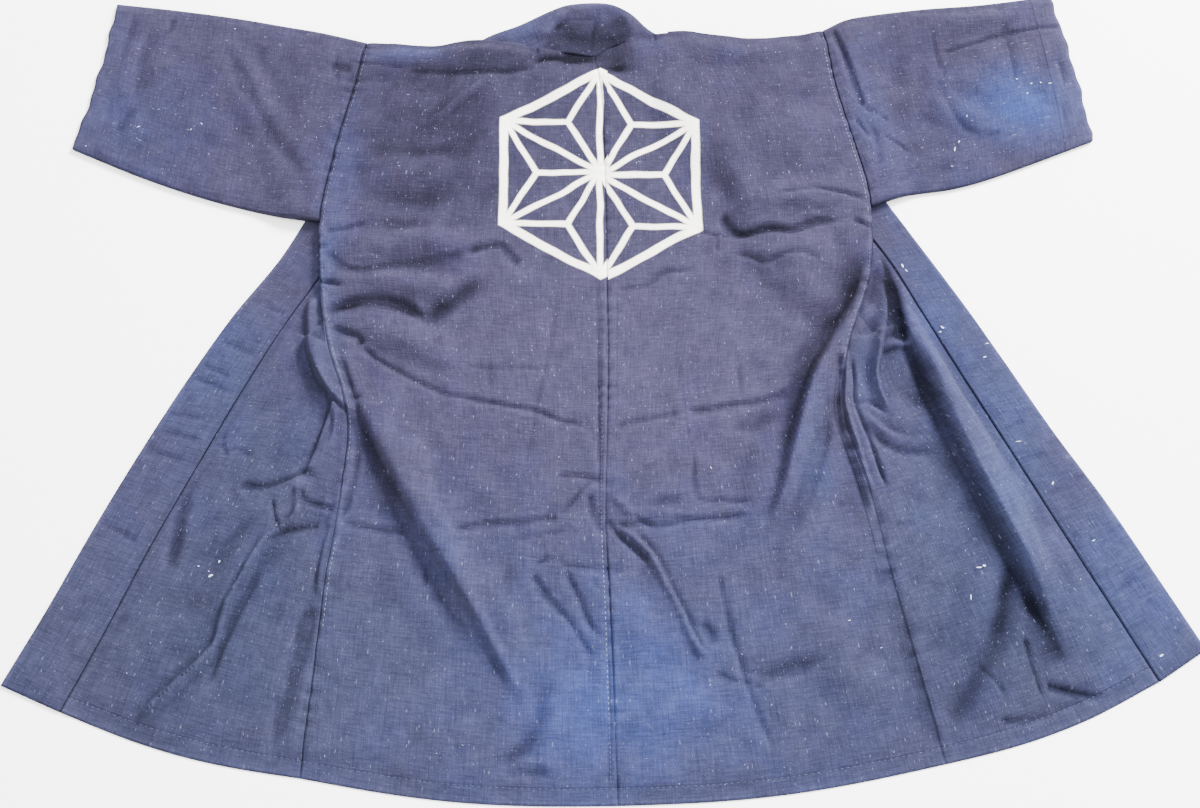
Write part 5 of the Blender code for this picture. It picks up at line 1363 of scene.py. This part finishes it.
# ---------------------------------------------------------------------------
# Marks: a few spots and short smears of old white paint, dried thin on the cloth.
# ---------------------------------------------------------------------------
# Cloth, then x, y, length and width of each mark, all in centimetres, and its lean.
PAINT_MARKS = (
    (sleeve_rows["left"], (
        (-55, 34, .5, .2, .3), (-47.5, 34.4, .5, .16, 2.4), (-48.7, 33.6, .4, .14, 1.2),
        (-61, 31.5, .3, .16, 0), (-44.6, 47.3, .4, .14, .4))),
    (sleeve_rows["right"], (
        (42, 31, .9, .26, 1.2), (42.6, 32, .7, .2, 1.0), (50.3, 40.4, .4, .2, 0),
        (52, 39.8, .5, .2, .4), (53.2, 40, .3, .2, 0), (54.3, 39.9, .5, .18, .2),
        (51.4, 38.5, .4, .2, .8), (43.7, 35.2, .4, .14, 1.4), (41.5, 28.8, .3, .12, 0))),
    (left_rows, (
        (-41.6, -19.3, .7, .4, .4), (-40.8, -17.8, .4, .3, 1.2), (-41.9, -18.8, .5, .1, 2.6),
        (-43.2, -18.2, .3, .2, 0))),
    (right_rows, (
        (40.6, -18.4, 1.0, .3, .1), (39.4, -21.6, .9, .16, 1.5), (29.7, -26.8, .3, .14, .4),
        (41.2, -18.2, .4, .4, 0), (26.4, -24, .5, .14, .3), (12.2, -7.4, .5, .14, 2.2))),
    (collar_rows, (
        (35, 16.5, .8, .26, 2.0), (35.4, 15.9, .6, .2, 2.4), (39, 8.9, .7, .4, 2.4),
        (38.7, 8.4, .5, .2, .2), (43.9, 7, .6, .2, .2), (43.5, 5.4, .5, .3, .4),
        (49.7, -9.1, .6, .3, 1.2), (53.5, -15.4, .6, .2, .4), (59.3, -27.6, .6, .3, .5),
        (46.4, -4.4, .9, .14, .1), (52, -4.2, .4, .1, 1))),
)
MARK_LIFT, BAND_MARK_LIFT = 0.08, 0.14     # over the middle of a cloth or of the band
MARK_LENGTH, MARK_WIDTH = 0.8, 0.7         # shares of the table's sizes
MARK_CORNERS = 9
marks = bmesh.new()
chance = np.random.default_rng(21)
for rows, spots in PAINT_MARKS:
    flat_rows = rows.reshape(-1, 3)
    for x, y, length, wide, lean in spots:
        near = np.hypot(flat_rows[:, 0] - x, flat_rows[:, 1] - y)
        near = np.where(near < 1.0, -flat_rows[:, 2], 9.0)
        height = -np.nanmin(near) + (BAND_MARK_LIFT if rows is collar_rows else MARK_LIFT)
        length, wide, rim = MARK_LENGTH * length, MARK_WIDTH * wide, []
        for k in range(MARK_CORNERS):
            angle = 2 * math.pi * k / MARK_CORNERS
            far = chance.uniform(0.55, 1.15) / 2
            along, aside = length * far * math.cos(angle), wide * far * math.sin(angle)
            rim.append(marks.verts.new((
                (x + along * math.cos(lean) - aside * math.sin(lean) - MIDDLE_X) * CM,
                (y + along * math.sin(lean) + aside * math.cos(lean) - MIDDLE_Y) * CM,
                height * CM)))
        marks.faces.new(rim)
# Dried paint is as matt and uneven as thread, so it shares its kind of material.
paint_marks = laid_out("paint_marks", marks, thread_material("old white paint", "#9a9eb2"))
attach(paint_marks, "root")

# ---------------------------------------------------------------------------
# Floor, light and camera.
# ---------------------------------------------------------------------------
board = bmesh.new()
bmesh.ops.create_grid(board, x_segments=2, y_segments=2, size=6.0)
floor_paint, _, paint = blank_material("matt white floor")
paint.inputs["Base Color"].default_value = colour("#fbfbfb")
paint.inputs["Roughness"].default_value = 0.9
floor = laid_out("floor", board, floor_paint)

world = bpy.data.worlds.new("studio")
world.use_nodes = True
world.node_tree.nodes["Background"].inputs["Color"].default_value = (1.0, 1.0, 1.0, 1.0)
world.node_tree.nodes["Background"].inputs["Strength"].default_value = 2.7
bpy.context.scene.world = world


def aimed(name, data, place, target):
    """A lamp or a camera at a place, turned to its target."""
    made = bpy.data.objects.new(name, data)
    made.location = place
    aim = Vector(target) - Vector(place)
    made.rotation_euler = aim.to_track_quat("-Z", "Y").to_euler()
    bpy.context.collection.objects.link(made)
    return made


for name, place, size, power in (("key softbox", (2.9, 3.2, 2.9), 1.5, 1850.0),
                                 ("top softbox", (0.2, 0.1, 2.6), 1.6, 80.0)):
    lamp = bpy.data.lights.new(name, "AREA")
    lamp.size = size
    lamp.energy = power
    aimed(name, lamp, place, (0.0, 0.0, 0.0))

lens = bpy.data.cameras.new("camera")
lens.lens = 34.5
lens.sensor_width = 36.0
bpy.context.scene.camera = aimed("camera", lens, (-0.005, -0.3799, 1.2460),
                                 (-0.005, -0.046, 0.0))
